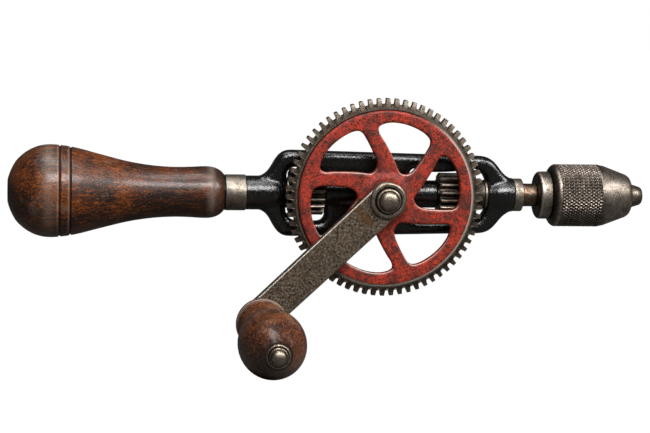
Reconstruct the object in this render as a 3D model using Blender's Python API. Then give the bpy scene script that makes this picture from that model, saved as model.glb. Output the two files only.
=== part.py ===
"""A double pinion hand drill: cast frame, spoked crank wheel, two bevel pinions, three jaw chuck.

The spindle runs along X with the chuck at +X, and the wheel's axis runs along Y with the crank
at -Y. The two axes cross PAD_REACH in front of the origin, which is the centre of the flat pad
on the back of the frame. Everything is drawn from that crossing and hung on one empty there.
"""

import math

import bmesh
import bpy
from mathutils import Matrix, Vector

for item in list(bpy.data.objects):
    bpy.data.objects.remove(item, do_unlink=True)

MM = 0.001

# Clearances
GAP = 0.3 * MM
RUNNING_FIT = 0.25 * MM
OVERRUN = 1.0 * MM
WELD = 0.0005 * MM

# Main handle, turned from wood
HANDLE_LENGTH = 97.1 * MM
HANDLE_RADIUS = 20.9 * MM
HANDLE_SHARES = (
    (0.0, 0.38), (0.006, 0.46), (0.028, 0.67), (0.06, 0.82), (0.11, 0.945), (0.16, 0.99),
    (0.21, 1.0), (0.275, 0.97), (0.35, 0.915), (0.42, 0.82), (0.5, 0.72), (0.59, 0.625),
    (0.69, 0.56), (0.79, 0.535), (0.88, 0.565), (0.93, 0.565), (0.965, 0.51), (1.0, 0.405),
)
HANDLE_GROOVES = (23.3 * MM, 27.4 * MM)
HANDLE_GROOVE_WIDTH = 1.1 * MM
HANDLE_GROOVE_DEPTH = 0.7 * MM
TENON_RADIUS = 6.8 * MM
TANG_RADIUS = 3.9 * MM
TANG_INTO_HANDLE = 42.0 * MM
TANG_INTO_FRAME = 8.5 * MM

# Ferrule, a steel tube over the handle's tenon
FERRULE_LENGTH = 9.5 * MM
FERRULE_RADIUS = 8.2 * MM
FERRULE_CHAMFER = 0.5 * MM

# Frame, one casting drawn from the side and thickened along Y
PAD_REACH = 10.0 * MM
PAD_RADIUS = 8.0 * MM
FRAME_THICK = 9.0 * MM
FRAME_ROUND = 2.8 * MM
BAR_OUTER_REAR = 19.8 * MM
BAR_OUTER_FRONT = 17.8 * MM
BAR_DEPTH_REAR = 6.6 * MM
BAR_DEPTH_FRONT = 5.8 * MM
SHOULDER_REAR_X = -47.0 * MM
SHOULDER_FRONT_X = 51.2 * MM
FLARE_REAR_X = -54.0 * MM
FLARE_FRONT_X = 58.0 * MM
FLARE_HALF = 6.4 * MM
FLARE_INSET = 3.0 * MM
SHOULDER_ROUND = 6.0 * MM
FLARE_ROUND = 4.5 * MM
WINDOW_REAR_X = -44.0 * MM
WINDOW_FRONT_X = 49.4 * MM
WEB_REAR_X = -24.5 * MM
WEB_FRONT_X = 12.5 * MM
WINDOW_ROUND = 5.5 * MM
NECK_RADIUS = 7.8 * MM
NECK_FILLET = 1.0 * MM
NECK_REAR_X = -62.0 * MM
NECK_FRONT_X = 61.5 * MM
SPINDLE_BOSS_RADIUS = 6.4 * MM
HUB_BOSS_RADIUS = 9.6 * MM
HUB_BOSS_REACH = 9.9 * MM
REAR_BEARING_DEPTH = 7.5 * MM

# Spindle
SPINDLE_RADIUS = 4.0 * MM
SHOULDER_RADIUS = 5.3 * MM
THREAD_RADIUS = 4.6 * MM
THREAD_LENGTH = 17.0 * MM
SPINDLE_CHAMFER = 0.6 * MM

# Nose bush, the bearing in the front neck
BUSH_COLLAR = 4.2 * MM
BUSH_RADIUS = 7.6 * MM
BUSH_SLEEVE_RADIUS = 5.7 * MM
BUSH_SLEEVE_LENGTH = 9.5 * MM
BUSH_CHAMFER = 0.7 * MM

# Wheel and pinion teeth, cut on one pair of pitch cones whose tips meet where the axes cross
WHEEL_TEETH = 68
PINION_TEETH = 16
WHEEL_TIP_RADIUS = 45.1 * MM
TOOTH_OVERHANG = 1.3 * MM
ADDENDUM = 1.1 * MM
DEDENDUM = 1.5 * MM
TIP_SHARE = 0.26
ROOT_SHARE = 0.6
PINION_TIP_SHARE = 0.22
PINION_ROOT_SHARE = 0.56
TOOTH_CHAMFER = 0.5 * MM

# Wheel body
RING_FRONT = 15.3 * MM
RING_INNER = 38.0 * MM
ROOT_RADIUS = 42.6 * MM
PLATE_RADIUS = 39.8 * MM
PLATE_FRONT = 16.3 * MM
PLATE_BACK = 12.0 * MM
PLATE_ROUND = 0.9 * MM
WHEEL_HUB_RADIUS = 11.6 * MM
WHEEL_HUB_FRONT = 17.1 * MM
SPIGOT_SIDE = 9.2 * MM
SPOKES = 6
SPOKE_HUB_RADIUS = 13.0 * MM
SPOKE_RIM_RADIUS = 34.5 * MM
OPENING_ANGLE = math.radians(74.0)
OPENING_SHARES = (
    (0.93, 0.372), (0.993, 0.228), (1.0, 0.033), (0.987, -0.167), (0.955, -0.313),
    (0.865, -0.38), (0.695, -0.412), (0.471, -0.444), (0.247, -0.474), (0.1, -0.45),
    (0.015, -0.32), (0.02, -0.165), (0.165, 0.03), (0.381, 0.2), (0.605, 0.315),
    (0.805, 0.39),
)

# Pinions
PINION_TOE = 26.7 * MM
PINION_HEEL = 42.3 * MM
PINION_HUB_RADIUS = 6.6 * MM
PINION_WASHER = 1.0 * MM
PINION_WASHER_RADIUS = 6.9 * MM
PIN_RADIUS = 1.3 * MM
PIN_STANDS_OUT = 0.7 * MM

# Wheel stud, its washer and domed nut
STUD_RADIUS = 3.0 * MM
STUD_THREAD_RADIUS = 4.6 * MM
STUD_THREAD_LENGTH = 4.4 * MM
STUD_END_RADIUS = 2.5 * MM
STUD_WASHER = 1.5 * MM
STUD_WASHER_RADIUS = 8.4 * MM
STUD_NUT_RADIUS = 4.95 * MM
STUD_NUT_HEIGHT = 3.9 * MM
NUT_CROWN = 1.1 * MM

# Crank arm
CRANK_LENGTH = 79.1 * MM
CRANK_ANGLE = math.radians(-135.0)
CRANK_THICK = 4.7 * MM
CRANK_HUB_RADIUS = 8.2 * MM
CRANK_END_RADIUS = 7.7 * MM
CRANK_EDGE = 0.4 * MM

# Crank knob on its pin
KNOB_LENGTH = 69.0 * MM
KNOB_RADIUS = 15.0 * MM
KNOB_SHARES = (
    (0.0, 0.7), (0.012, 0.76), (0.035, 0.79), (0.06, 0.77), (0.075, 0.735), (0.09, 0.755),
    (0.12, 0.745), (0.17, 0.665), (0.25, 0.615), (0.34, 0.67), (0.43, 0.81), (0.53, 0.94),
    (0.63, 1.0), (0.73, 0.98), (0.82, 0.875), (0.9, 0.705), (0.955, 0.535), (1.0, 0.41),
)
KNOB_PIN_RADIUS = 3.0 * MM
KNOB_PIN_HEAD = 1.4 * MM
KNOB_PIN_HEAD_RADIUS = 5.2 * MM
KNOB_PIN_END = 2.4 * MM
KNOB_WASHER = 1.1 * MM
KNOB_WASHER_RADIUS = 5.3 * MM
KNOB_NUT_RADIUS = 3.7 * MM
KNOB_NUT_HEIGHT = 3.2 * MM

# Chuck
CHUCK_DISC_BACK = 73.0 * MM
CHUCK_DISC = 6.0 * MM
CHUCK_DISC_LIP = 1.4 * MM
CHUCK_DISC_ROUND = 2.2 * MM
CHUCK_CORE_LENGTH = 16.2 * MM
CHUCK_CORE_SHARE = 0.662
BIT_PASSAGE_RADIUS = 3.2 * MM
SHELL_LENGTH = 38.1 * MM
SHELL_RADIUS = 14.5 * MM
SHELL_BACK_ROUND = 3.0 * MM
SHELL_GRIP_LENGTH = 22.6 * MM
NOSE_FALL = 5.4 * MM
NOSE_ROUND = 1.7 * MM
NOSE_WALL = 3.0 * MM
NOSE_ANGLE = math.radians(17.5)
JAWS = 3
JAW_LENGTH = 17.7 * MM
JAW_STANDS_OUT = 6.0 * MM
JAW_SPLIT = 0.4 * MM
JAW_TIP_ROUND = 0.8 * MM

# Facets
ROUND_STEPS = 24
SHAFT_STEPS = 18
CORNER_STEPS = 4
SMOOTH_ANGLE = math.radians(35.0)

# Places worked out from the sizes above
FERRULE_FRONT_X = NECK_REAR_X - GAP
FERRULE_BACK_X = FERRULE_FRONT_X - FERRULE_LENGTH
HANDLE_BUTT_X = FERRULE_BACK_X - GAP - HANDLE_LENGTH
BUSH_FRONT_X = NECK_FRONT_X + GAP + BUSH_COLLAR
SHELL_BACK_X = CHUCK_DISC_BACK + CHUCK_DISC + GAP
SHELL_FRONT_X = SHELL_BACK_X + SHELL_LENGTH
CHUCK_CORE_RADIUS = SHELL_RADIUS * CHUCK_CORE_SHARE
CHUCK_DISC_RADIUS = CHUCK_CORE_RADIUS + CHUCK_DISC_LIP
NOSE_RADIUS = SHELL_RADIUS - NOSE_FALL
NOSE_MOUTH_RADIUS = NOSE_RADIUS - NOSE_WALL
CRANK_BACK = WHEEL_HUB_FRONT + GAP
CRANK_FRONT = CRANK_BACK + CRANK_THICK
CONE_SLOPE = PINION_TEETH / WHEEL_TEETH
WHEEL_PITCH_RADIUS = WHEEL_TIP_RADIUS - TOOTH_OVERHANG
TO_X = (0, math.pi / 2, 0)
TO_MINUS_Y = (math.pi / 2, 0, 0)


def finish(name, colour, roughness, metallic):
    """A plain Principled material."""
    material = bpy.data.materials.new(name)
    material.use_nodes = True
    shader = material.node_tree.nodes["Principled BSDF"]
    shader.inputs["Base Color"].default_value = (*colour, 1.0)
    shader.inputs["Roughness"].default_value = roughness
    shader.inputs["Metallic"].default_value = metallic
    material.diffuse_color = (*colour, 1.0)
    return material


WALNUT = finish("oiled_hardwood", (0.17, 0.065, 0.028), 0.38, 0.0)
BLACK_JAPAN = finish("black_japanned_iron", (0.012, 0.012, 0.012), 0.35, 0.0)
RED_PAINT = finish("red_painted_iron", (0.42, 0.03, 0.02), 0.45, 0.0)
AGED_STEEL = finish("aged_steel", (0.24, 0.21, 0.18), 0.42, 1.0)
BRIGHT_STEEL = finish("worn_bright_steel", (0.42, 0.38, 0.33), 0.34, 1.0)


def join_axis_crossing():
    """The empty where the spindle's axis and the wheel's axis cross."""
    crossing = bpy.data.objects.new("axis_crossing", None)
    crossing.location = (0, -PAD_REACH, 0)
    bpy.context.scene.collection.objects.link(crossing)
    return crossing


CROSSING = join_axis_crossing()


def pivot(name, location):
    """An empty on a joint's axis, hung on the axis crossing."""
    empty = bpy.data.objects.new(name, None)
    empty.location = location
    empty.parent = CROSSING
    bpy.context.scene.collection.objects.link(empty)
    return empty


def solid(name, mesh, material, location=(0, 0, 0), rotation=(0, 0, 0), parent=CROSSING):
    """Makes an object of a mesh, smooth except at its sharp edges."""
    mesh.materials.clear()
    mesh.materials.append(material)
    mesh.shade_smooth()
    mesh.set_sharp_from_angle(angle=SMOOTH_ANGLE)
    item = bpy.data.objects.new(name, mesh)
    item.location = location
    item.rotation_euler = rotation
    item.parent = parent
    bpy.context.scene.collection.objects.link(item)
    return item


def helper(item):
    """Marks a cutter or a piece to be joined, which isn't a part of its own."""
    item.hide_render = True
    item.display_type = "WIRE"
    return item


def combine(item, operation, other):
    modifier = item.modifiers.new(other.name, "BOOLEAN")
    modifier.operation = operation
    modifier.solver = "EXACT"
    modifier.object = helper(other)


def tidy_mesh(name, sculpt):
    """Welds what touches, turns every face outwards and returns the mesh."""
    bmesh.ops.remove_doubles(sculpt, verts=sculpt.verts, dist=WELD)
    bmesh.ops.recalc_face_normals(sculpt, faces=sculpt.faces)
    mesh = bpy.data.meshes.new(name)
    sculpt.to_mesh(mesh)
    sculpt.free()
    return mesh


def turned(name, profile, steps=ROUND_STEPS, ring=False):
    """A mesh turned about Z from (station, radius) pairs. A ring's profile closes on itself."""
    sculpt = bmesh.new()
    points = [sculpt.verts.new((radius, 0, station)) for station, radius in profile]
    edges = [sculpt.edges.new(pair) for pair in zip(points, points[1:])]
    if ring:
        edges.append(sculpt.edges.new((points[-1], points[0])))
    bmesh.ops.spin(
        sculpt, geom=points + edges, cent=(0, 0, 0), axis=(0, 0, 1),
        angle=math.tau, steps=steps, use_merge=True,
    )
    return tidy_mesh(name, sculpt)


def rod(name, back, front, radius, steps=SHAFT_STEPS):
    return turned(name, ((back, 0), (back, radius), (front, radius), (front, 0)), steps)


def tube(name, back, front, outer, inner, chamfer=0, steps=ROUND_STEPS):
    """A plain ring with chamfered outer edges."""
    profile = [(back, inner), (back, outer), (front, outer), (front, inner)]
    if chamfer:
        profile[1:3] = [
            (back, outer - chamfer), (back + chamfer, outer),
            (front - chamfer, outer), (front, outer - chamfer),
        ]
    return turned(name, profile, steps, ring=True)


def smooth_through(points, pieces, closed=False):
    """Points on a smooth curve through those given, with this many pieces to a span."""
    last = len(points)
    spans = last if closed else last - 1
    found = []
    for span in range(spans):
        if closed:
            a, b, c, d = (Vector(points[(span + k) % last]) for k in (-1, 0, 1, 2))
        else:
            a, b, c, d = (Vector(points[min(max(span + k, 0), last - 1)]) for k in (-1, 0, 1, 2))
        for step in range(pieces):
            t = step / pieces
            found.append(
                b + (c - a) * t / 2 + (2 * a - 5 * b + 4 * c - d) * t * t / 2
                + (3 * b - a - 3 * c + d) * t ** 3 / 2
            )
    return found if closed else found + [Vector(points[-1])]


def rounded(corners, steps=CORNER_STEPS):
    """An outline whose corners, given as (x, y, radius), are arcs."""
    outline = []
    for index, (x, y, radius) in enumerate(corners):
        here = Vector((x, y))
        if not radius:
            outline.append(here)
            continue
        before = (Vector(corners[index - 1][:2]) - here).normalized()
        after = (Vector(corners[(index + 1) % len(corners)][:2]) - here).normalized()
        half = before.angle(after) / 2
        centre = here + (before + after).normalized() * radius / math.sin(half)
        start = here + before * radius / math.tan(half) - centre
        turn = start.angle_signed(here + after * radius / math.tan(half) - centre)
        for step in range(steps + 1):
            outline.append(centre + Matrix.Rotation(-turn * step / steps, 2) @ start)
    return outline


def circle(radius, steps):
    return [
        Vector((radius * math.cos(math.tau * k / steps), radius * math.sin(math.tau * k / steps)))
        for k in range(steps)
    ]


def plate(name, outlines, back, front, edge, edge_steps=0):
    """A plate drawn in XY between two heights, with rounded edges. Inner outlines are holes."""
    drawing = bpy.data.curves.new(name, "CURVE")
    drawing.dimensions = "2D"
    drawing.fill_mode = "BOTH"
    drawing.extrude = (front - back) / 2 - edge
    drawing.bevel_depth = edge
    drawing.bevel_resolution = edge_steps
    drawing.offset = -edge
    for outline in outlines:
        spline = drawing.splines.new("POLY")
        spline.points.add(len(outline) - 1)
        for point, place in zip(spline.points, outline):
            point.co = (place.x, place.y, 0, 1)
        spline.use_cyclic_u = True
    sheet = bpy.data.objects.new(name, drawing)
    sculpt = bmesh.new()
    sculpt.from_mesh(sheet.to_mesh())
    bmesh.ops.translate(sculpt, verts=sculpt.verts, vec=(0, 0, (front + back) / 2))
    bpy.data.objects.remove(sheet)
    bpy.data.curves.remove(drawing)
    return tidy_mesh(name, sculpt)


def block(name, low, high):
    sculpt = bmesh.new()
    bmesh.ops.create_cube(sculpt, size=1)
    size = Vector(high) - Vector(low)
    bmesh.ops.scale(sculpt, verts=sculpt.verts, vec=size)
    bmesh.ops.translate(sculpt, verts=sculpt.verts, vec=(Vector(high) + Vector(low)) / 2)
    return tidy_mesh(name, sculpt)


def dome(back, radius, height, crown):
    """The outer profile of a domed nut, from its seat to the middle of its top."""
    rise = height - crown
    return (
        (back, radius), (back + rise * 0.6, radius), (back + rise, radius * 0.88),
        (back + rise + crown * 0.62, radius * 0.62), (back + rise + crown * 0.92, radius * 0.3),
        (back + height, 0),
    )


# Main handle, its tang and its ferrule


def make_handle():
    curve = smooth_through(HANDLE_SHARES, 1)
    profile = [(share.x * HANDLE_LENGTH, share.y * HANDLE_RADIUS) for share in curve]
    for centre in HANDLE_GROOVES:
        low, high = centre - HANDLE_GROOVE_WIDTH / 2, centre + HANDLE_GROOVE_WIDTH / 2
        nearest = min(profile, key=lambda point: abs(point[0] - centre))
        profile = [point for point in profile if not low <= point[0] <= high]
        profile += [
            (low, nearest[1]), (centre, nearest[1] - HANDLE_GROOVE_DEPTH), (high, nearest[1]),
        ]
    profile.sort()
    tenon_end = HANDLE_LENGTH + FERRULE_LENGTH
    bore = TANG_RADIUS + GAP
    bore_end = tenon_end - TANG_INTO_HANDLE - GAP
    profile = [(0, 0)] + profile + [
        (HANDLE_LENGTH, TENON_RADIUS), (tenon_end, TENON_RADIUS), (tenon_end, bore),
        (bore_end, bore), (bore_end, 0),
    ]
    mesh = turned("main_handle", profile)
    return solid("main_handle", mesh, WALNUT, (HANDLE_BUTT_X, 0, 0), TO_X)


def make_tang():
    back = FERRULE_FRONT_X - GAP - TANG_INTO_HANDLE
    mesh = rod("handle_tang", back, NECK_REAR_X + TANG_INTO_FRAME, TANG_RADIUS)
    return solid("handle_tang", mesh, AGED_STEEL, rotation=TO_X)


def make_ferrule():
    mesh = tube(
        "handle_ferrule", FERRULE_BACK_X, FERRULE_FRONT_X, FERRULE_RADIUS,
        TENON_RADIUS + GAP, FERRULE_CHAMFER,
    )
    return solid("handle_ferrule", mesh, BRIGHT_STEEL, rotation=TO_X)


# Frame


def frame_outline():
    upper = [
        (FLARE_REAR_X - FLARE_INSET, FLARE_HALF, 0), (FLARE_REAR_X, FLARE_HALF, FLARE_ROUND),
        (SHOULDER_REAR_X, BAR_OUTER_REAR, SHOULDER_ROUND),
        (SHOULDER_FRONT_X, BAR_OUTER_FRONT, SHOULDER_ROUND),
        (FLARE_FRONT_X, FLARE_HALF, FLARE_ROUND),
        (FLARE_FRONT_X + FLARE_INSET, FLARE_HALF, 0),
    ]
    lower = [(x, -z, radius) for x, z, radius in reversed(upper)]
    return rounded(upper + lower)


def bar_inner(x):
    """Half the opening between the bars, which draw together towards the chuck."""
    share = (x - SHOULDER_REAR_X) / (SHOULDER_FRONT_X - SHOULDER_REAR_X)
    rear = BAR_OUTER_REAR - BAR_DEPTH_REAR
    return rear + (BAR_OUTER_FRONT - BAR_DEPTH_FRONT - rear) * share


def window_outline(rear, front):
    rear_half = bar_inner(rear)
    front_half = bar_inner(front)
    return rounded([
        (rear, rear_half, WINDOW_ROUND), (front, front_half, WINDOW_ROUND),
        (front, -front_half, WINDOW_ROUND), (rear, -rear_half, WINDOW_ROUND),
    ])


def make_frame():
    mesh = plate(
        "frame",
        (
            frame_outline(),
            window_outline(WINDOW_REAR_X, WEB_REAR_X),
            window_outline(WEB_FRONT_X, WINDOW_FRONT_X),
        ),
        -FRAME_THICK / 2, FRAME_THICK / 2, FRAME_ROUND, edge_steps=1,
    )
    frame = solid("frame", mesh, BLACK_JAPAN, rotation=TO_MINUS_Y)
    rear_neck = turned("frame_rear_neck", (
        (NECK_REAR_X, 0), (NECK_REAR_X, NECK_RADIUS - NECK_FILLET),
        (NECK_REAR_X + NECK_FILLET, NECK_RADIUS), (WINDOW_REAR_X, NECK_RADIUS),
        (WINDOW_REAR_X, 0),
    ))
    front_neck = turned("frame_front_neck", (
        (WINDOW_FRONT_X, 0), (WINDOW_FRONT_X, NECK_RADIUS),
        (NECK_FRONT_X - NECK_FILLET, NECK_RADIUS), (NECK_FRONT_X, NECK_RADIUS - NECK_FILLET),
        (NECK_FRONT_X, 0),
    ))
    boss_reach = PINION_TOE - GAP
    spindle_boss = rod(
        "frame_spindle_boss", -boss_reach, boss_reach, SPINDLE_BOSS_RADIUS, ROUND_STEPS
    )
    for part in (rear_neck, front_neck, spindle_boss):
        combine(frame, "UNION", solid(part.name, part, BLACK_JAPAN, rotation=TO_X))
    hub_boss = turned("frame_hub_boss", (
        (-PAD_REACH, 0), (-PAD_REACH, PAD_RADIUS - NECK_FILLET),
        (-PAD_REACH + NECK_FILLET, PAD_RADIUS), (0, HUB_BOSS_RADIUS),
        (HUB_BOSS_REACH, HUB_BOSS_RADIUS), (HUB_BOSS_REACH, 0),
    ))
    combine(frame, "UNION", solid(hub_boss.name, hub_boss, BLACK_JAPAN, rotation=TO_MINUS_Y))
    spindle_bore = rod(
        "frame_spindle_bore", WINDOW_REAR_X - REAR_BEARING_DEPTH, NECK_FRONT_X + OVERRUN,
        SPINDLE_RADIUS + RUNNING_FIT,
    )
    bush_bore = rod(
        "frame_bush_bore", NECK_FRONT_X - BUSH_SLEEVE_LENGTH - GAP, NECK_FRONT_X + OVERRUN,
        BUSH_SLEEVE_RADIUS + GAP,
    )
    tang_bore = rod(
        "frame_tang_bore", NECK_REAR_X - OVERRUN, NECK_REAR_X + TANG_INTO_FRAME + GAP,
        TANG_RADIUS + GAP,
    )
    for part in (spindle_bore, bush_bore, tang_bore):
        combine(frame, "DIFFERENCE", solid(part.name, part, BLACK_JAPAN, rotation=TO_X))
    stud_bore = rod(
        "frame_stud_bore", HUB_BOSS_REACH - STUD_THREAD_LENGTH - GAP, HUB_BOSS_REACH + OVERRUN,
        STUD_THREAD_RADIUS + GAP,
    )
    combine(frame, "DIFFERENCE", solid(stud_bore.name, stud_bore, BLACK_JAPAN, rotation=TO_MINUS_Y))
    return frame


# Spindle and nose bush


def make_spindle():
    back = WINDOW_REAR_X - REAR_BEARING_DEPTH + GAP
    step = BUSH_FRONT_X + GAP
    thread = CHUCK_DISC_BACK - GAP
    end = thread + THREAD_LENGTH
    mesh = turned("spindle", (
        (back, 0), (back, SPINDLE_RADIUS - SPINDLE_CHAMFER),
        (back + SPINDLE_CHAMFER, SPINDLE_RADIUS), (step, SPINDLE_RADIUS),
        (step, SHOULDER_RADIUS), (thread, SHOULDER_RADIUS), (thread, THREAD_RADIUS),
        (end - SPINDLE_CHAMFER, THREAD_RADIUS), (end, THREAD_RADIUS - SPINDLE_CHAMFER), (end, 0),
    ), SHAFT_STEPS)
    return solid("spindle", mesh, AGED_STEEL, rotation=TO_X, parent=SPINDLE_PIVOT)


def make_nose_bush():
    bore = SPINDLE_RADIUS + RUNNING_FIT
    seat = NECK_FRONT_X + GAP
    back = NECK_FRONT_X - BUSH_SLEEVE_LENGTH
    mesh = turned("nose_bush", (
        (back, bore), (back, BUSH_SLEEVE_RADIUS), (seat, BUSH_SLEEVE_RADIUS),
        (seat, BUSH_RADIUS), (BUSH_FRONT_X - BUSH_CHAMFER, BUSH_RADIUS),
        (BUSH_FRONT_X, BUSH_RADIUS - BUSH_CHAMFER), (BUSH_FRONT_X, bore),
    ), ring=True)
    return solid("nose_bush", mesh, BRIGHT_STEEL, rotation=TO_X)


# Wheel, with teeth on the back of its rim


def cone_height(radius, offset):
    """How far the wheel's cone lies in front of the crossing at a radius. A tooth's height
    shrinks towards the crossing with the radius."""
    return radius * (CONE_SLOPE + offset / WHEEL_PITCH_RADIUS)


def toothed_ring():
    """The rim: closed cross sections set round the axis, four to a tooth."""
    pitch = math.tau / WHEEL_TEETH
    sculpt = bmesh.new()
    sections = []
    for tooth in range(WHEEL_TEETH):
        middle = tooth * pitch
        for side, on_tooth in ((-1, False), (-1, True), (1, True), (1, False)):
            share = TIP_SHARE if on_tooth else ROOT_SHARE
            angle = middle + side * share * pitch / 2
            heel = WHEEL_TIP_RADIUS if on_tooth else ROOT_RADIUS
            offset = -ADDENDUM if on_tooth else DEDENDUM
            drop = TOOTH_CHAMFER if on_tooth else 0
            section = (
                (RING_INNER, RING_FRONT), (heel, RING_FRONT - drop),
                (heel, cone_height(heel, offset)), (RING_INNER, cone_height(RING_INNER, offset)),
            )
            sections.append([
                sculpt.verts.new((r * math.cos(angle), r * math.sin(angle), height))
                for r, height in section
            ])
    for here, there in zip(sections, sections[1:] + sections[:1]):
        for k in range(len(here)):
            n = (k + 1) % len(here)
            sculpt.faces.new((here[k], there[k], there[n], here[n]))
    return tidy_mesh("wheel_ring", sculpt)


def wheel_openings():
    """The gaps between the swept spokes."""
    reach = SPOKE_RIM_RADIUS - SPOKE_HUB_RADIUS
    pitch = math.tau / SPOKES
    outlines = []
    for gap in range(SPOKES):
        centre = OPENING_ANGLE + gap * pitch
        points = []
        for reach_share, turn_share in OPENING_SHARES:
            radius = SPOKE_HUB_RADIUS + reach * reach_share
            angle = centre + pitch * turn_share
            points.append((radius * math.cos(angle), radius * math.sin(angle)))
        outlines.append(smooth_through(points, 2, closed=True))
    return outlines


def make_wheel():
    disc = plate(
        "drive_wheel", [circle(PLATE_RADIUS, 2 * ROUND_STEPS)] + wheel_openings(),
        PLATE_BACK, PLATE_FRONT, PLATE_ROUND,
    )
    wheel = solid("drive_wheel", disc, RED_PAINT, rotation=TO_MINUS_Y, parent=WHEEL_PIVOT)
    ring = solid("wheel_ring", toothed_ring(), RED_PAINT, rotation=TO_MINUS_Y)
    combine(wheel, "UNION", ring)
    hub = turned("wheel_hub", (
        (HUB_BOSS_REACH + GAP, 0), (HUB_BOSS_REACH + GAP, HUB_BOSS_RADIUS),
        (WHEEL_HUB_FRONT, WHEEL_HUB_RADIUS), (WHEEL_HUB_FRONT, 0),
    ))
    combine(wheel, "UNION", solid("wheel_hub", hub, RED_PAINT, rotation=TO_MINUS_Y))
    half = SPIGOT_SIDE / 2
    spigot = block(
        "wheel_spigot", (-half, -half, PLATE_BACK), (half, half, CRANK_FRONT - GAP)
    )
    turn = (math.pi / 2, -CRANK_ANGLE, 0)
    combine(wheel, "UNION", solid("wheel_spigot", spigot, RED_PAINT, rotation=turn))
    bore = rod("wheel_bore", 0, CRANK_FRONT + OVERRUN, STUD_RADIUS + RUNNING_FIT)
    combine(wheel, "DIFFERENCE", solid("wheel_bore", bore, RED_PAINT, rotation=TO_MINUS_Y))
    return wheel


# Pinions, whose teeth shrink towards the crossing where they mesh and run straight inside the ring


def pinion_mesh(name, stations):
    """stations are (distance from the crossing, fixed radius or None where teeth run)."""
    pitch = math.tau / PINION_TEETH
    sculpt = bmesh.new()
    sections = []
    for tooth in range(PINION_TEETH):
        middle = (tooth + 0.5) * pitch
        for side, on_tooth in ((-1, False), (-1, True), (1, True), (1, False)):
            share = PINION_TIP_SHARE if on_tooth else PINION_ROOT_SHARE
            angle = middle + side * share * pitch / 2
            offset = ADDENDUM if on_tooth else -DEDENDUM
            column = []
            for along, fixed in stations:
                on_cone = cone_height(max(along, RING_INNER), offset)
                radius = on_cone if fixed is None else fixed
                column.append(sculpt.verts.new(
                    (radius * math.sin(angle), -radius * math.cos(angle), along)
                ))
            sections.append(column)
    for here, there in zip(sections, sections[1:] + sections[:1]):
        for k in range(len(here)):
            n = (k + 1) % len(here)
            sculpt.faces.new((here[k], there[k], there[n], here[n]))
    return tidy_mesh(name, sculpt)


def make_pinions():
    bore = SPINDLE_RADIUS + RUNNING_FIT
    hub_end = WINDOW_FRONT_X - PINION_WASHER - 2 * GAP
    mesh = pinion_mesh("drive_pinion", (
        (PINION_TOE, bore), (PINION_TOE, None), (RING_INNER, None), (PINION_HEEL, None),
        (PINION_HEEL, PINION_HUB_RADIUS), (hub_end, PINION_HUB_RADIUS), (hub_end, bore),
    ))
    drive = solid("drive_pinion", mesh, AGED_STEEL, rotation=TO_X, parent=SPINDLE_PIVOT)
    pin_x = (PINION_HEEL + hub_end) / 2
    pin_reach = PINION_HUB_RADIUS + PIN_STANDS_OUT
    pin = rod("pinion_pin", -pin_reach, pin_reach, PIN_RADIUS, SHAFT_STEPS // 2)
    solid("pinion_pin", pin, BRIGHT_STEEL, (pin_x, 0, 0), parent=SPINDLE_PIVOT)
    cutter_mesh = rod(
        "pin_bore", -pin_reach - OVERRUN, pin_reach + OVERRUN, PIN_RADIUS + GAP, SHAFT_STEPS // 2
    )
    cutter = solid("pin_bore", cutter_mesh, AGED_STEEL, (pin_x, 0, 0), parent=SPINDLE_PIVOT)
    combine(drive, "DIFFERENCE", cutter)
    combine(SPINDLE, "DIFFERENCE", cutter)
    idler_end = -WINDOW_REAR_X - PINION_WASHER - 2 * GAP
    mesh = pinion_mesh("idler_pinion", (
        (PINION_TOE, bore), (PINION_TOE, None), (RING_INNER, None), (idler_end, None),
        (idler_end, bore),
    ))
    turn = (0, -math.pi / 2, 0)
    solid("idler_pinion", mesh, AGED_STEEL, rotation=turn, parent=IDLER_PIVOT)
    front = tube(
        "drive_thrust_washer", hub_end + GAP, hub_end + GAP + PINION_WASHER,
        PINION_WASHER_RADIUS, bore, steps=SHAFT_STEPS,
    )
    solid("drive_thrust_washer", front, BRIGHT_STEEL, rotation=TO_X)
    rear = tube(
        "idler_thrust_washer", WINDOW_REAR_X + GAP, WINDOW_REAR_X + GAP + PINION_WASHER,
        PINION_WASHER_RADIUS, bore, steps=SHAFT_STEPS,
    )
    solid("idler_thrust_washer", rear, BRIGHT_STEEL, rotation=TO_X)


# Stud that carries the wheel, with its washer and domed nut


def make_stud():
    washer_back = CRANK_FRONT + GAP
    washer_front = washer_back + STUD_WASHER
    end = washer_front + STUD_NUT_HEIGHT / 2
    mesh = turned("wheel_stud", (
        (HUB_BOSS_REACH - STUD_THREAD_LENGTH, 0),
        (HUB_BOSS_REACH - STUD_THREAD_LENGTH, STUD_THREAD_RADIUS),
        (HUB_BOSS_REACH, STUD_THREAD_RADIUS), (HUB_BOSS_REACH, STUD_RADIUS),
        (CRANK_FRONT, STUD_RADIUS), (CRANK_FRONT, STUD_END_RADIUS), (end, STUD_END_RADIUS),
        (end, 0),
    ), SHAFT_STEPS)
    solid("wheel_stud", mesh, BRIGHT_STEEL, rotation=TO_MINUS_Y)
    washer = tube(
        "stud_washer", washer_back, washer_front, STUD_WASHER_RADIUS,
        STUD_END_RADIUS + GAP, FERRULE_CHAMFER,
    )
    solid("stud_washer", washer, AGED_STEEL, rotation=TO_MINUS_Y)
    nut_back = washer_front + GAP
    nut = turned("stud_nut", (
        (end + GAP, 0), (end + GAP, STUD_END_RADIUS + GAP), (nut_back, STUD_END_RADIUS + GAP),
        *dome(nut_back, STUD_NUT_RADIUS, STUD_NUT_HEIGHT, NUT_CROWN),
    ), SHAFT_STEPS)
    solid("stud_nut", nut, AGED_STEEL, rotation=TO_MINUS_Y)


# Crank arm


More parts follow.
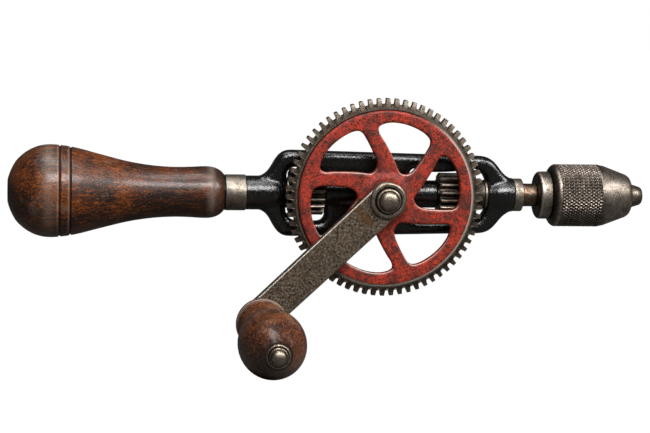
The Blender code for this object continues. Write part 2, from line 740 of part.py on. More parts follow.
def crank_outline():
    """Two round ends joined by straight edges that touch both."""
    lean = math.acos((CRANK_HUB_RADIUS - CRANK_END_RADIUS) / CRANK_LENGTH)
    outline = []
    steps = 3 * CORNER_STEPS
    for step in range(steps + 1):
        angle = lean + (math.tau - 2 * lean) * step / steps
        outline.append(
            Vector((CRANK_HUB_RADIUS * math.cos(angle), CRANK_HUB_RADIUS * math.sin(angle)))
        )
    for step in range(steps + 1):
        angle = -lean + 2 * lean * step / steps
        outline.append(Vector((
            CRANK_LENGTH + CRANK_END_RADIUS * math.cos(angle), CRANK_END_RADIUS * math.sin(angle),
        )))
    return outline


def make_crank():
    turn = (math.pi / 2, -CRANK_ANGLE, 0)
    mesh = plate("crank_arm", [crank_outline()], CRANK_BACK, CRANK_FRONT, CRANK_EDGE)
    arm = solid("crank_arm", mesh, AGED_STEEL, rotation=turn, parent=WHEEL_PIVOT)
    half = SPIGOT_SIDE / 2 + GAP
    socket = block(
        "crank_socket", (-half, -half, CRANK_BACK - OVERRUN), (half, half, CRANK_FRONT + OVERRUN)
    )
    cutter = solid("crank_socket", socket, AGED_STEEL, rotation=turn, parent=WHEEL_PIVOT)
    combine(arm, "DIFFERENCE", cutter)
    hole = rod(
        "crank_pin_hole", CRANK_BACK - OVERRUN, CRANK_FRONT + OVERRUN, KNOB_PIN_RADIUS + GAP
    )
    cutter = solid("crank_pin_hole", hole, AGED_STEEL, rotation=TO_MINUS_Y, parent=KNOB_PIVOT)
    combine(arm, "DIFFERENCE", cutter)


# Knob on the crank, its pin, washer and domed nut


def make_knob():
    back = CRANK_FRONT + GAP
    bore = KNOB_PIN_RADIUS + RUNNING_FIT
    profile = [
        (back + share.x * KNOB_LENGTH, share.y * KNOB_RADIUS)
        for share in smooth_through(KNOB_SHARES, 1)
    ]
    front = back + KNOB_LENGTH
    mesh = turned("crank_knob", [(back, bore)] + profile + [(front, bore)], ring=True)
    solid("crank_knob", mesh, WALNUT, rotation=TO_MINUS_Y, parent=KNOB_PIVOT)
    washer_front = front + GAP + KNOB_WASHER
    end = washer_front + GAP + KNOB_NUT_HEIGHT / 2
    head_back = CRANK_BACK - GAP - KNOB_PIN_HEAD
    pin = turned("knob_pin", (
        (head_back, 0), (head_back, KNOB_PIN_HEAD_RADIUS - FERRULE_CHAMFER),
        (head_back + FERRULE_CHAMFER, KNOB_PIN_HEAD_RADIUS),
        (CRANK_BACK - GAP, KNOB_PIN_HEAD_RADIUS), (CRANK_BACK - GAP, KNOB_PIN_RADIUS),
        (front, KNOB_PIN_RADIUS), (front, KNOB_PIN_END), (end, KNOB_PIN_END), (end, 0),
    ), SHAFT_STEPS)
    solid("knob_pin", pin, BRIGHT_STEEL, rotation=TO_MINUS_Y, parent=KNOB_PIVOT)
    washer = tube(
        "knob_washer", front + GAP, washer_front, KNOB_WASHER_RADIUS, KNOB_PIN_END + GAP,
        FERRULE_CHAMFER, SHAFT_STEPS,
    )
    solid("knob_washer", washer, AGED_STEEL, rotation=TO_MINUS_Y, parent=KNOB_PIVOT)
    nut_back = washer_front + GAP
    nut = turned("knob_nut", (
        (end + GAP, 0), (end + GAP, KNOB_PIN_END + GAP), (nut_back, KNOB_PIN_END + GAP),
        *dome(nut_back, KNOB_NUT_RADIUS, KNOB_NUT_HEIGHT, NUT_CROWN),
    ), SHAFT_STEPS)
    solid("knob_nut", nut, AGED_STEEL, rotation=TO_MINUS_Y, parent=KNOB_PIVOT)


# Chuck: body screwed on the spindle, knurled shell, three jaws in the shell's cone


def mouth_radius(x):
    """The radius of the cone inside the shell."""
    return NOSE_MOUTH_RADIUS + (SHELL_FRONT_X - x) * math.tan(NOSE_ANGLE)


def make_chuck_body():
    disc_front = CHUCK_DISC_BACK + CHUCK_DISC
    front = disc_front + CHUCK_CORE_LENGTH
    thread_end = CHUCK_DISC_BACK - GAP + THREAD_LENGTH + GAP
    bore = THREAD_RADIUS + GAP
    mesh = turned("chuck_body", (
        (CHUCK_DISC_BACK, bore), (CHUCK_DISC_BACK, CHUCK_DISC_RADIUS - CHUCK_DISC_ROUND),
        (CHUCK_DISC_BACK + CHUCK_DISC_ROUND * 0.4, CHUCK_DISC_RADIUS - CHUCK_DISC_ROUND * 0.35),
        (CHUCK_DISC_BACK + CHUCK_DISC_ROUND, CHUCK_DISC_RADIUS),
        (disc_front, CHUCK_DISC_RADIUS), (disc_front, CHUCK_CORE_RADIUS),
        (front, CHUCK_CORE_RADIUS), (front, BIT_PASSAGE_RADIUS),
        (thread_end, BIT_PASSAGE_RADIUS), (thread_end, bore),
    ), ring=True)
    solid("chuck_body", mesh, AGED_STEEL, rotation=TO_X, parent=SPINDLE_PIVOT)
    return front


def make_chuck_shell(core_front):
    grip_front = SHELL_BACK_X + SHELL_GRIP_LENGTH
    cavity_back = core_front + GAP
    bore = CHUCK_CORE_RADIUS + GAP
    nose_back = SHELL_FRONT_X - NOSE_ROUND
    mesh = turned("chuck_shell", (
        (SHELL_BACK_X, bore), (SHELL_BACK_X, SHELL_RADIUS - SHELL_BACK_ROUND * 0.8),
        (SHELL_BACK_X + SHELL_BACK_ROUND * 0.4, SHELL_RADIUS - SHELL_BACK_ROUND * 0.3),
        (SHELL_BACK_X + SHELL_BACK_ROUND, SHELL_RADIUS), (grip_front, SHELL_RADIUS),
        (grip_front + NOSE_ROUND * 2, SHELL_RADIUS - NOSE_ROUND * 0.42),
        (nose_back, NOSE_RADIUS + NOSE_ROUND * 0.45),
        (SHELL_FRONT_X - NOSE_ROUND * 0.3, NOSE_RADIUS - NOSE_ROUND * 0.2),
        (SHELL_FRONT_X, NOSE_RADIUS - NOSE_ROUND * 0.8),
        (SHELL_FRONT_X, NOSE_MOUTH_RADIUS), (cavity_back, mouth_radius(cavity_back)),
        (cavity_back, bore),
    ), ring=True)
    solid("chuck_shell", mesh, AGED_STEEL, rotation=TO_X, parent=SHELL_PIVOT)


def jaw_mesh(name):
    """A third of a cone with its sides set back from its neighbours'."""
    tip = SHELL_FRONT_X + JAW_STANDS_OUT
    back = tip - JAW_LENGTH
    stations = (
        (back, mouth_radius(back) - GAP),
        (SHELL_FRONT_X, NOSE_MOUTH_RADIUS - GAP),
        (tip - JAW_TIP_ROUND, mouth_radius(tip - JAW_TIP_ROUND) - GAP),
        (tip, mouth_radius(tip) - GAP - JAW_TIP_ROUND),
    )
    spread = math.pi / JAWS
    apex = JAW_SPLIT / 2 / math.sin(spread)
    arc_steps = 2 * CORNER_STEPS
    sculpt = bmesh.new()
    sections = []
    for x, radius in stations:
        half = spread - math.asin(JAW_SPLIT / 2 / radius)
        points = [Vector((apex, 0))]
        for step in range(arc_steps + 1):
            angle = -half + 2 * half * step / arc_steps
            points.append(Vector((radius * math.cos(angle), radius * math.sin(angle))))
        sections.append([sculpt.verts.new((point.x, point.y, x)) for point in points])
    for here, there in zip(sections, sections[1:]):
        for k in range(len(here)):
            n = (k + 1) % len(here)
            sculpt.faces.new((here[k], here[n], there[n], there[k]))
    sculpt.faces.new(sections[0])
    sculpt.faces.new(sections[-1])
    return tidy_mesh(name, sculpt)


def make_jaws():
    shared = jaw_mesh("jaw")
    for number in range(JAWS):
        matrix = Matrix.Rotation(math.tau * number / JAWS, 3, "X") @ Matrix.Rotation(
            math.pi / 2, 3, "Y"
        )
        turn = matrix.to_euler()
        solid(f"jaw_{number + 1}", shared, BRIGHT_STEEL, rotation=turn, parent=SPINDLE_PIVOT)


SPINDLE_PIVOT = pivot("spindle_pivot", (0, 0, 0))
IDLER_PIVOT = pivot("idler_pivot", (0, 0, 0))
SHELL_PIVOT = pivot("shell_pivot", (0, 0, 0))
WHEEL_PIVOT = pivot("wheel_pivot", (0, 0, 0))
KNOB_PIVOT = pivot("knob_pivot", (
    CRANK_LENGTH * math.cos(CRANK_ANGLE), 0, CRANK_LENGTH * math.sin(CRANK_ANGLE),
))

make_handle()
make_tang()
make_ferrule()
make_frame()
SPINDLE = make_spindle()
make_nose_bush()
make_wheel()
make_pinions()
make_stud()
make_crank()
make_knob()
make_chuck_shell(make_chuck_body())
make_jaws()
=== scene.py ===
import math

import bmesh
import bpy
import numpy as np
from mathutils import Matrix, Vector


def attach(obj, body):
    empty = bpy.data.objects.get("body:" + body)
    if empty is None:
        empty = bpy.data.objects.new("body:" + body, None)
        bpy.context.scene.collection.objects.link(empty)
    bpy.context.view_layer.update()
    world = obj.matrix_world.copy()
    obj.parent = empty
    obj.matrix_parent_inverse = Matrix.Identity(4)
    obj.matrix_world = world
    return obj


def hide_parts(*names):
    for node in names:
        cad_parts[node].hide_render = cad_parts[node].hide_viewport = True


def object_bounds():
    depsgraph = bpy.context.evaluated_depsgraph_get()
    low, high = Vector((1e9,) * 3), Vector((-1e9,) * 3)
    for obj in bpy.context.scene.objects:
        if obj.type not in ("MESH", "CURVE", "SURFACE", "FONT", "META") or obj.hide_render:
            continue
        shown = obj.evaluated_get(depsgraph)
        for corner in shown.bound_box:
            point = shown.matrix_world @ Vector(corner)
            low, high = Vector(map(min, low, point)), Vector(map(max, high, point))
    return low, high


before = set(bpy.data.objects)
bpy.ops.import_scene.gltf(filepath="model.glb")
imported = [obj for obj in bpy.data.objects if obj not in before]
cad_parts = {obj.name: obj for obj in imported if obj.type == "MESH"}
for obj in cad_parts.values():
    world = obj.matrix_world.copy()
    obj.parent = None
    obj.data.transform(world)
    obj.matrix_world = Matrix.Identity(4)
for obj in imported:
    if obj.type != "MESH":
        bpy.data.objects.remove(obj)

CAD_BOX = [list(corner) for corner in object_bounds()]


# Main handle. One piece of walnut turned on a lathe, with two thin grooves cut round its thick
# end, and oiled. It is driven on the frame's tang, and its tenon sits in the ferrule.
MM = 0.001
CROSSING = Matrix.Translation((0, -10 * MM, 0))
TO_X = Matrix.Rotation(math.radians(90), 4, "Y")
HANDLE_BUTT = -169.2 * MM
HANDLE_LENGTH = 97.1 * MM
HANDLE_RADIUS = 20.9 * MM
HANDLE_SHARES = (
    (0.0, 0.24), (0.004, 0.31), (0.012, 0.415), (0.026, 0.55), (0.045, 0.68), (0.08, 0.825),
    (0.12, 0.93), (0.16, 0.985), (0.2, 1.0), (0.245, 0.985), (0.29, 0.955), (0.34, 0.905),
    (0.4, 0.83), (0.47, 0.745), (0.54, 0.665), (0.61, 0.605), (0.69, 0.56), (0.77, 0.542),
    (0.84, 0.548), (0.895, 0.562), (0.93, 0.56), (0.955, 0.538), (0.975, 0.497), (0.99, 0.445),
    (1.0, 0.39),
)
HANDLE_GROOVES = (23.1 * MM, 27.9 * MM)
GROOVE_WIDTH = 0.34 * MM
GROOVE_DEPTH = 0.6 * MM
TENON_RADIUS = 6.8 * MM
TENON_LENGTH = 9.5 * MM


def smooth_through(points, pieces, closed=False):
    """Points on a smooth curve through those given, with this many pieces to a span."""
    last = len(points)
    found = []
    for span in range(last if closed else last - 1):
        if closed:
            a, b, c, d = (Vector(points[(span + k) % last]) for k in (-1, 0, 1, 2))
        else:
            a, b, c, d = (Vector(points[min(max(span + k, 0), last - 1)]) for k in (-1, 0, 1, 2))
        for step in range(pieces):
            t = step / pieces
            found.append(
                b + (c - a) * t / 2 + (2 * a - 5 * b + 4 * c - d) * t * t / 2
                + (3 * b - a - 3 * c + d) * t ** 3 / 2
            )
    return found if closed else found + [Vector(points[-1])]


def finished(sculpt, name, turn):
    """Merges a sculpt's doubled points, faces it outwards, turns it into place and makes a mesh."""
    bmesh.ops.remove_doubles(sculpt, verts=sculpt.verts, dist=0.0005 * MM)
    bmesh.ops.recalc_face_normals(sculpt, faces=sculpt.faces)
    bmesh.ops.transform(sculpt, matrix=turn, verts=sculpt.verts)
    mesh = bpy.data.meshes.new(name)
    sculpt.to_mesh(mesh)
    sculpt.free()
    return mesh


def turned(name, profile, turn, steps=120):
    """A closed skin turned about one line from (station, radius) pairs."""
    sculpt = bmesh.new()
    points = [sculpt.verts.new((radius, 0, station)) for station, radius in profile]
    edges = [sculpt.edges.new(pair) for pair in zip(points, points[1:])]
    if profile[0][1] > 0:
        edges.append(sculpt.edges.new((points[-1], points[0])))
    bmesh.ops.spin(
        sculpt, geom=points + edges, cent=(0, 0, 0), axis=(0, 0, 1),
        angle=math.tau, steps=steps, use_merge=True,
    )
    return finished(sculpt, name, turn)


def store(mesh, name, values):
    """Keeps a number at each vertex for the material to read."""
    mesh.attributes.new(name, "FLOAT", "POINT").data.foreach_set("value", values)


def mark(mesh, name, value_at):
    """Keeps a number worked out from each vertex's place in millimetres."""
    store(mesh, name, [value_at(vertex.co / MM) for vertex in mesh.vertices])


def placed(name, data):
    """A new object of this data in the scene."""
    made = bpy.data.objects.new(name, data)
    bpy.context.scene.collection.objects.link(made)
    return made


def fit(name, mesh, finish, body, slot, *nodes):
    """Makes a piece of a mesh, hangs it on its body and lets it stand for its CAD nodes."""
    mesh.materials.clear()
    mesh.materials.append(finish)
    mesh.shade_smooth()
    mesh.set_sharp_from_angle(angle=math.radians(38))
    piece = placed(name, mesh)
    piece.matrix_world = CROSSING
    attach(piece, body)
    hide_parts(*nodes)


def colour(code):
    """An sRGB hex colour as linear red, green, blue and alpha."""
    shares = [int(code[k:k + 2], 16) / 255 for k in (1, 3, 5)]
    return [s / 12.92 if s <= 0.04045 else ((s + 0.055) / 1.055) ** 2.4 for s in shares] + [1.0]


def blank(name):
    """A material with an empty node tree."""
    made = bpy.data.materials.new(name)
    made.use_nodes = True
    made.node_tree.nodes.clear()
    return made


def node(made, kind, inputs=(), out=0, stops=(), **settings):
    """Adds a node with its settings, its sockets' values or links, and a colour ramp's stops."""
    added = made.node_tree.nodes.new(kind)
    for name, value in settings.items():
        setattr(added, name, value)
    for socket, value in dict(inputs).items():
        if isinstance(value, bpy.types.NodeSocket):
            made.node_tree.links.new(value, added.inputs[socket])
        else:
            added.inputs[socket].default_value = value
    if stops:
        elements = added.color_ramp.elements
        elements.remove(elements[1])
        elements[0].position, elements[0].color = stops[0][0], colour(stops[0][1])
        for share, tone in stops[1:]:
            elements.new(share).color = colour(tone)
    return added.outputs[out] if added.outputs else added


def walnut(name, deep, middle, warm, along, shine):
    """Oiled walnut: streaks and dark pores along the grain, warm where hands have rubbed it thin,
    pale with wax and painted highlights, nearly black in grooves and at ends, partly painted shade,
    under a satin skin that breaks the light."""
    made = blank(name)
    place = node(made, "ShaderNodeTexCoord", out="Object")
    space = node(made, "ShaderNodeVectorMath", {0: place, "Scale": 1 / MM}, operation="SCALE")
    streaks = [1 / 1.1] * 3
    streaks[along] = 1 / 13
    # Walnut's pores are about 0.2 mm wide. They are drawn twice as coarse to show.
    pores = [1 / 0.42] * 3
    pores[along] = 1 / 1.7
    streak_space = node(made, "ShaderNodeMapping", {"Vector": space, "Scale": streaks})
    pore_space = node(made, "ShaderNodeMapping", {"Vector": space, "Scale": pores})
    streak = node(made, "ShaderNodeTexNoise", {
        "Vector": streak_space, "Scale": 1, "Detail": 7, "Roughness": 0.7, "Distortion": 0.4,
    })
    grain = node(made, "ShaderNodeValToRGB", {0: streak}, stops=(
        (0.36, deep), (0.5, middle), (0.66, warm), (0.82, middle),
    ))
    patch = node(made, "ShaderNodeTexNoise", {
        "Vector": space, "Scale": 1 / 17, "Detail": 4, "Roughness": 0.6,
    })
    rubbed = node(made, "ShaderNodeMapRange", {0: patch, 1: 0.45, 2: 0.64, 3: 0, 4: 0.55})
    warmed = node(made, "ShaderNodeMixRGB", {0: rubbed, 1: grain, 2: colour(warm)})
    dim = node(made, "ShaderNodeMapRange", {0: patch, 1: 0.34, 2: 0.47, 3: 0.6, 4: 0})
    dimmed = node(made, "ShaderNodeMixRGB", {0: dim, 1: warmed, 2: colour(deep)})
    pore = node(made, "ShaderNodeTexNoise", {"Vector": pore_space, "Scale": 1, "Detail": 3})
    pore_mask = node(made, "ShaderNodeMapRange", {0: pore, 1: 0.51, 2: 0.6, 3: 0, 4: 0.9})
    pored = node(made, "ShaderNodeMixRGB", {0: pore_mask, 1: dimmed, 2: colour("#140906")})
    fleck = node(made, "ShaderNodeTexNoise", {
        "Vector": space, "Scale": 1 / 0.6, "Detail": 3, "Roughness": 0.7,
    })
    scuff = node(made, "ShaderNodeTexNoise", {
        "Vector": space, "Scale": 1 / 9, "Detail": 5, "Roughness": 0.7, "Distortion": 0.6,
    })
    # Pale haze from wax on the handle and from painted highlights on the knob's beads.
    wax_and_highlight = node(made, "ShaderNodeAttribute", out="Fac", attribute_name="wax_and_highlight")
    scuffed = node(made, "ShaderNodeMapRange", {0: scuff, 1: 0.56, 2: 0.72, 3: 0, 4: 0.5})
    haze = node(made, "ShaderNodeMath", {0: wax_and_highlight, 1: scuffed}, operation="ADD")
    broken = node(made, "ShaderNodeMath", {0: haze, 1: fleck}, operation="MULTIPLY")
    hazed = node(made, "ShaderNodeMixRGB", {0: broken, 1: pored, 2: colour("#a18d80")})
    fleck_mask = node(made, "ShaderNodeMapRange", {0: fleck, 1: 0.6, 2: 0.7, 3: 0, 4: 0.6})
    flecked = node(made, "ShaderNodeMixRGB", {0: fleck_mask, 1: hazed, 2: colour("#b98a68")})
    # Dark in grooves and at ends, partly painted shade, and on the handle's waist.
    grime_and_shade = node(made, "ShaderNodeAttribute", out="Fac", attribute_name="grime_and_shade")
    darkened = node(made, "ShaderNodeMixRGB", {0: grime_and_shade, 1: flecked, 2: colour("#120b09")})
    gloss = node(made, "ShaderNodeMapRange", {0: patch, 1: 0.35, 2: 0.65, 3: 0.48, 4: 0.28})
    dents = node(made, "ShaderNodeTexNoise", {
        "Vector": space, "Scale": 1 / 3.5, "Detail": 5, "Roughness": 0.65,
    })
    relief = node(made, "ShaderNodeMath", {0: pore_mask, 1: -0.06}, operation="MULTIPLY")
    height = node(made, "ShaderNodeMath", {0: dents, 1: 0.35, 2: relief}, operation="MULTIPLY_ADD")
    skin = node(made, "ShaderNodeBump", {"Height": height, "Strength": 0.7, "Distance": 0.8 * MM})
    shader = node(made, "ShaderNodeBsdfPrincipled", {
        "Base Color": darkened, "Roughness": gloss, "IOR": 1.4, "Normal": skin,
        "Coat Weight": shine, "Coat Roughness": 0.2,
    })
    node(made, "ShaderNodeOutputMaterial", {"Surface": shader})
    return made


def grooved(station, radius):
    """The handle's radius with the two grooves cut in it."""
    cut = sum(math.exp(-((station - groove) / GROOVE_WIDTH) ** 2) for groove in HANDLE_GROOVES)
    return radius - GROOVE_DEPTH * cut


handle_curve = smooth_through([(s * HANDLE_LENGTH, r * HANDLE_RADIUS) for s, r in HANDLE_SHARES], 17)
handle_profile = [(0, 0)] + [(s, grooved(s, r)) for s, r in handle_curve]
handle_profile += [
    (HANDLE_LENGTH, TENON_RADIUS), (HANDLE_LENGTH + TENON_LENGTH, TENON_RADIUS),
    (HANDLE_LENGTH + TENON_LENGTH, 0),
]
handle_profile = [(HANDLE_BUTT + s, r) for s, r in handle_profile]
handle_mesh = turned("main_handle_wood", handle_profile, TO_X)


def handle_shade_and_tone(place):
    """Darker in the two grooves, painted shade at both ends, and darker wood from the waist forwards."""
    station = place.x - HANDLE_BUTT / MM
    in_groove = max(math.exp(-((station - g / MM) / 0.4) ** 2) for g in HANDLE_GROOVES)
    at_ends = max(math.exp(-station / 2.2), math.exp((station - HANDLE_LENGTH / MM) / 1.6))
    on_waist = min(1.0, max(0.0, (station - 44) / 26))
    return min(1.0, 0.95 * in_groove + 0.7 * at_ends + 0.36 * on_waist)


def handle_wax(place):
    """Pale wax and wear beside the grooves and round the front bead."""
    station = place.x - HANDLE_BUTT / MM
    by_groove = max(math.exp(-((station - s) / 0.35) ** 2) for s in (22.2, 27.0))
    on_bead = math.exp(-((station - 91) / 1.7) ** 2)
    return 0.7 * by_groove + 0.9 * on_bead + 0.5 * math.exp(-((station - 18) / 3) ** 2)


mark(handle_mesh, "grime_and_shade", handle_shade_and_tone)
mark(handle_mesh, "wax_and_highlight", handle_wax)
OILED_WALNUT = walnut("oiled_walnut", "#140904", "#3e1c0b", "#914a19", 0, 0.3)
fit("main_handle_wood", handle_mesh, OILED_WALNUT, "frame", "oiled_walnut", "main_handle")


# Ferrule and tang. A short steel tube is pressed over the handle's tenon to keep the wood from
# splitting. The tang is a steel rod from the frame's neck into the handle, hidden by both.
GAP = 0.3 * MM
FERRULE_BACK = HANDLE_BUTT + HANDLE_LENGTH + GAP
FERRULE_FRONT = FERRULE_BACK + 9.5 * MM
FERRULE_RADIUS = 8.2 * MM


def eased(profile, radius, steps=3):
    """A profile whose corners are small arcs, as a file or wear leaves them."""
    found = [profile[0]]
    for before, here, after in zip(profile, profile[1:], profile[2:]):
        back, on = Vector(before) - Vector(here), Vector(after) - Vector(here)
        if back.angle(on) > math.radians(165):
            found.append(here)
            continue
        reach = min(radius, back.length * 0.45, on.length * 0.45)
        start = Vector(here) + back.normalized() * reach
        end = Vector(here) + on.normalized() * reach
        for step in range(steps + 1):
            t = step / steps
            found.append(tuple(start * (1 - t) ** 2 + Vector(here) * 2 * t * (1 - t) + end * t * t))
    return found + [profile[-1]]


def aged_steel(name, dark, middle, bright, rough, rings=None):
    """Steel that has lost its polish: brown-grey clouds, dark pits and brighter rubbed specks.
    rings is the axis that the tool marks of a turned piece run round."""
    made = blank(name)
    place = node(made, "ShaderNodeTexCoord", out="Object")
    space = node(made, "ShaderNodeVectorMath", {0: place, "Scale": 1 / MM}, operation="SCALE")
    clouds = node(made, "ShaderNodeTexNoise", {
        "Vector": space, "Scale": 1 / 4.5, "Detail": 6, "Roughness": 0.68,
    })
    specks = node(made, "ShaderNodeTexNoise", {
        "Vector": space, "Scale": 1 / 0.55, "Detail": 4, "Roughness": 0.7,
    })
    both = node(made, "ShaderNodeMixRGB", {0: 0.5, 1: clouds, 2: specks})
    tone = node(made, "ShaderNodeValToRGB", {0: both}, stops=(
        (0.36, dark), (0.48, middle), (0.62, bright),
    ))
    pits = node(made, "ShaderNodeMapRange", {0: specks, 1: 0.42, 2: 0.32, 3: 0, 4: 0.75})
    pitted = node(made, "ShaderNodeMixRGB", {0: pits, 1: tone, 2: colour("#1d1510")})
    # Pale metal on rubbed edges and where a highlight is painted on.
    wear = node(made, "ShaderNodeAttribute", out="Fac", attribute_name="wear_and_highlight")
    rubbed = node(made, "ShaderNodeMixRGB", {0: wear, 1: pitted, 2: colour("#d8cdc0")})
    # Darker in hollows and where parts meet, partly painted shade.
    grime_and_shade = node(made, "ShaderNodeAttribute", out="Fac", attribute_name="grime_and_shade")
    darkened = node(made, "ShaderNodeMixRGB", {0: grime_and_shade, 1: rubbed, 2: colour("#1a120c")})
    gloss = node(made, "ShaderNodeMapRange", {0: clouds, 1: 0.3, 2: 0.7, 3: rough + 0.12, 4: rough})
    height = specks
    if rings is not None:
        # A lathe's marks lie about 0.1 mm apart. They are drawn three times as coarse to show.
        across = [1 / 40] * 3
        across[rings] = 1 / 0.3
        ring_space = node(made, "ShaderNodeMapping", {"Vector": space, "Scale": across})
        marks = node(made, "ShaderNodeTexNoise", {"Vector": ring_space, "Scale": 1, "Detail": 2})
        height = node(made, "ShaderNodeMath", {0: marks, 1: 0.5, 2: specks}, operation="MULTIPLY_ADD")
    skin = node(made, "ShaderNodeBump", {"Height": height, "Strength": 0.35, "Distance": 0.12 * MM})
    shader = node(made, "ShaderNodeBsdfPrincipled", {
        "Base Color": darkened, "Roughness": gloss, "Metallic": 1.0, "Normal": skin,
    })
    node(made, "ShaderNodeOutputMaterial", {"Surface": shader})
    return made


WORN_STEEL = aged_steel("worn_turned_steel", "#574d41", "#8c8275", "#bfb5a9", 0.38, rings=0)
TURNED_STEEL = aged_steel("turned_mild_steel", "#5d5348", "#8a7f72", "#b8ada0", 0.34)
ferrule_profile = [
    (FERRULE_BACK, TENON_RADIUS + GAP), (FERRULE_BACK, FERRULE_RADIUS),
    (FERRULE_FRONT, FERRULE_RADIUS), (FERRULE_FRONT, TENON_RADIUS + GAP),
]
ferrule_mesh = turned("ferrule_tube", eased(ferrule_profile, 0.5 * MM), TO_X)
# Darker in a thin band at the back edge, where the ferrule meets the handle.
mark(ferrule_mesh, "grime_and_shade", lambda p: 0.8 * math.exp(-(p.x - FERRULE_BACK / MM) / 0.35))
fit("ferrule_tube", ferrule_mesh, WORN_STEEL, "frame", "worn_steel", "handle_ferrule")
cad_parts["handle_tang"].data.materials.clear()
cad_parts["handle_tang"].data.materials.append(TURNED_STEEL)


# Frame. One iron casting: a neck for the handle, two bars joined by webs, bosses for the spindle
# and the wheel's stud, and a front neck. It is dipped in black japan, glossy over rough iron.
FRAME_THICK = 9 * MM
FRAME_ROUND = 3.0 * MM
WINDOW_REAR = -44 * MM
WINDOW_FRONT = 49.4 * MM
NECK_REAR = FERRULE_FRONT + GAP
NECK_FRONT = 61.5 * MM
NECK_RADIUS = 7.8 * MM
SPINDLE_BORE = 4.25 * MM
BUSH_SEAT = NECK_FRONT - 9.5 * MM
BUSH_RADIUS = 5.7 * MM
TO_MINUS_Y = Matrix.Rotation(math.radians(90), 4, "X")
CAST_EXTRA = 2.5 * MM
CUT_PAST = 9 * MM


def rounded(corners, steps=10):
    """An outline whose corners, given as (x, y, radius), are arcs."""
    outline = []
    for index, (x, y, radius) in enumerate(corners):
        here = Vector((x, y))
        before = (Vector(corners[index - 1][:2]) - here).normalized()
        after = (Vector(corners[(index + 1) % len(corners)][:2]) - here).normalized()
        half = before.angle(after) / 2
        centre = here + (before + after).normalized() * radius / math.sin(half)
        start = here + before * radius / math.tan(half) - centre
        turn = start.angle_signed(here + after * radius / math.tan(half) - centre)
        for step in range(steps + 1):
            outline.append(centre + Matrix.Rotation(-turn * step / steps, 2) @ start)
    return outline


def plate(name, outlines, back, front, edge, turn, edge_steps=3):
    """A plate between two heights with rounded edges. Inner outlines are holes."""
    drawing = bpy.data.curves.new(name, "CURVE")
    drawing.dimensions = "2D"
    drawing.fill_mode = "BOTH"
    drawing.extrude = (front - back) / 2 - edge
    drawing.bevel_depth = edge
    drawing.bevel_resolution = edge_steps
    drawing.offset = -edge
    for outline in outlines:
        spline = drawing.splines.new("POLY")
        spline.points.add(len(outline) - 1)
        for point, place in zip(spline.points, outline):
            point.co = (place[0], place[1], 0, 1)
        spline.use_cyclic_u = True
    sheet = bpy.data.objects.new(name, drawing)
    sculpt = bmesh.new()
    sculpt.from_mesh(sheet.to_mesh())
    bmesh.ops.translate(sculpt, verts=sculpt.verts, vec=(0, 0, (front + back) / 2))
    bpy.data.objects.remove(sheet)
    bpy.data.curves.remove(drawing)
    return finished(sculpt, name, turn)


def shaped(piece):
    """The mesh that a piece's modifiers make. The piece itself goes."""
    graph = bpy.context.evaluated_depsgraph_get()
    mesh = bpy.data.meshes.new_from_object(piece.evaluated_get(graph))
    bpy.data.objects.remove(piece)
    return mesh


def cast(name, shapes, grain, passes, cuts=()):
    """Joins closed shapes into one skin, softens it as a mould does, then bores it."""
    sculpt = bmesh.new()
    for shape in shapes:
        sculpt.from_mesh(shape)
    mesh = bpy.data.meshes.new(name)
    sculpt.to_mesh(mesh)
    sculpt.free()
    piece = placed(name, mesh)
    skin = piece.modifiers.new("skin", "REMESH")
    skin.mode = "VOXEL"
    skin.voxel_size = grain
    soft = piece.modifiers.new("soft", "SMOOTH")
    soft.factor = 0.5
    soft.iterations = passes
    piece = placed(name, shaped(piece))
    cutters = []
    for cut in cuts:
        cutter = placed("cutter", cut)
        cutter.hide_render = True
        bore = piece.modifiers.new("bore", "BOOLEAN")
        bore.operation = "DIFFERENCE"
        bore.solver = "EXACT"
        bore.object = cutter
        cutters.append(cutter)
    mesh = shaped(piece)
    for cutter in cutters:
        bpy.data.objects.remove(cutter)
    return mesh


def wear_edges(mesh, gain, passes):
    """Keeps how far each vertex stands out from its neighbours: 1 on an edge, 0 on a flat."""
    count = len(mesh.vertices)
    points, normals = np.empty(count * 3), np.empty(count * 3)
    ends = np.empty(len(mesh.edges) * 2, dtype=np.int32)
    mesh.vertices.foreach_get("co", points)
    mesh.vertices.foreach_get("normal", normals)
    mesh.edges.foreach_get("vertices", ends)
    points, normals, ends = points.reshape(-1, 3), normals.reshape(-1, 3), ends.reshape(-1, 2)
    degree = np.maximum(np.bincount(ends.ravel(), minlength=count), 1)

    def around(values):
        total = np.zeros(values.shape)
        np.add.at(total, ends[:, 0], values[ends[:, 1]])
        np.add.at(total, ends[:, 1], values[ends[:, 0]])
        return total / (degree if values.ndim == 1 else degree[:, None])

    length = np.linalg.norm(points[ends[:, 0]] - points[ends[:, 1]], axis=1).mean()
    wear_and_highlight = np.clip(((points - around(points)) * normals).sum(axis=1) / length * gain, 0, 1)
    for _ in range(passes):
        wear_and_highlight = (wear_and_highlight + around(wear_and_highlight)) / 2
    store(mesh, "wear_and_highlight", wear_and_highlight)


def from_mm(points):
    """Points given in millimetres as points in metres."""
    return [tuple(number * MM for number in point) for point in points]


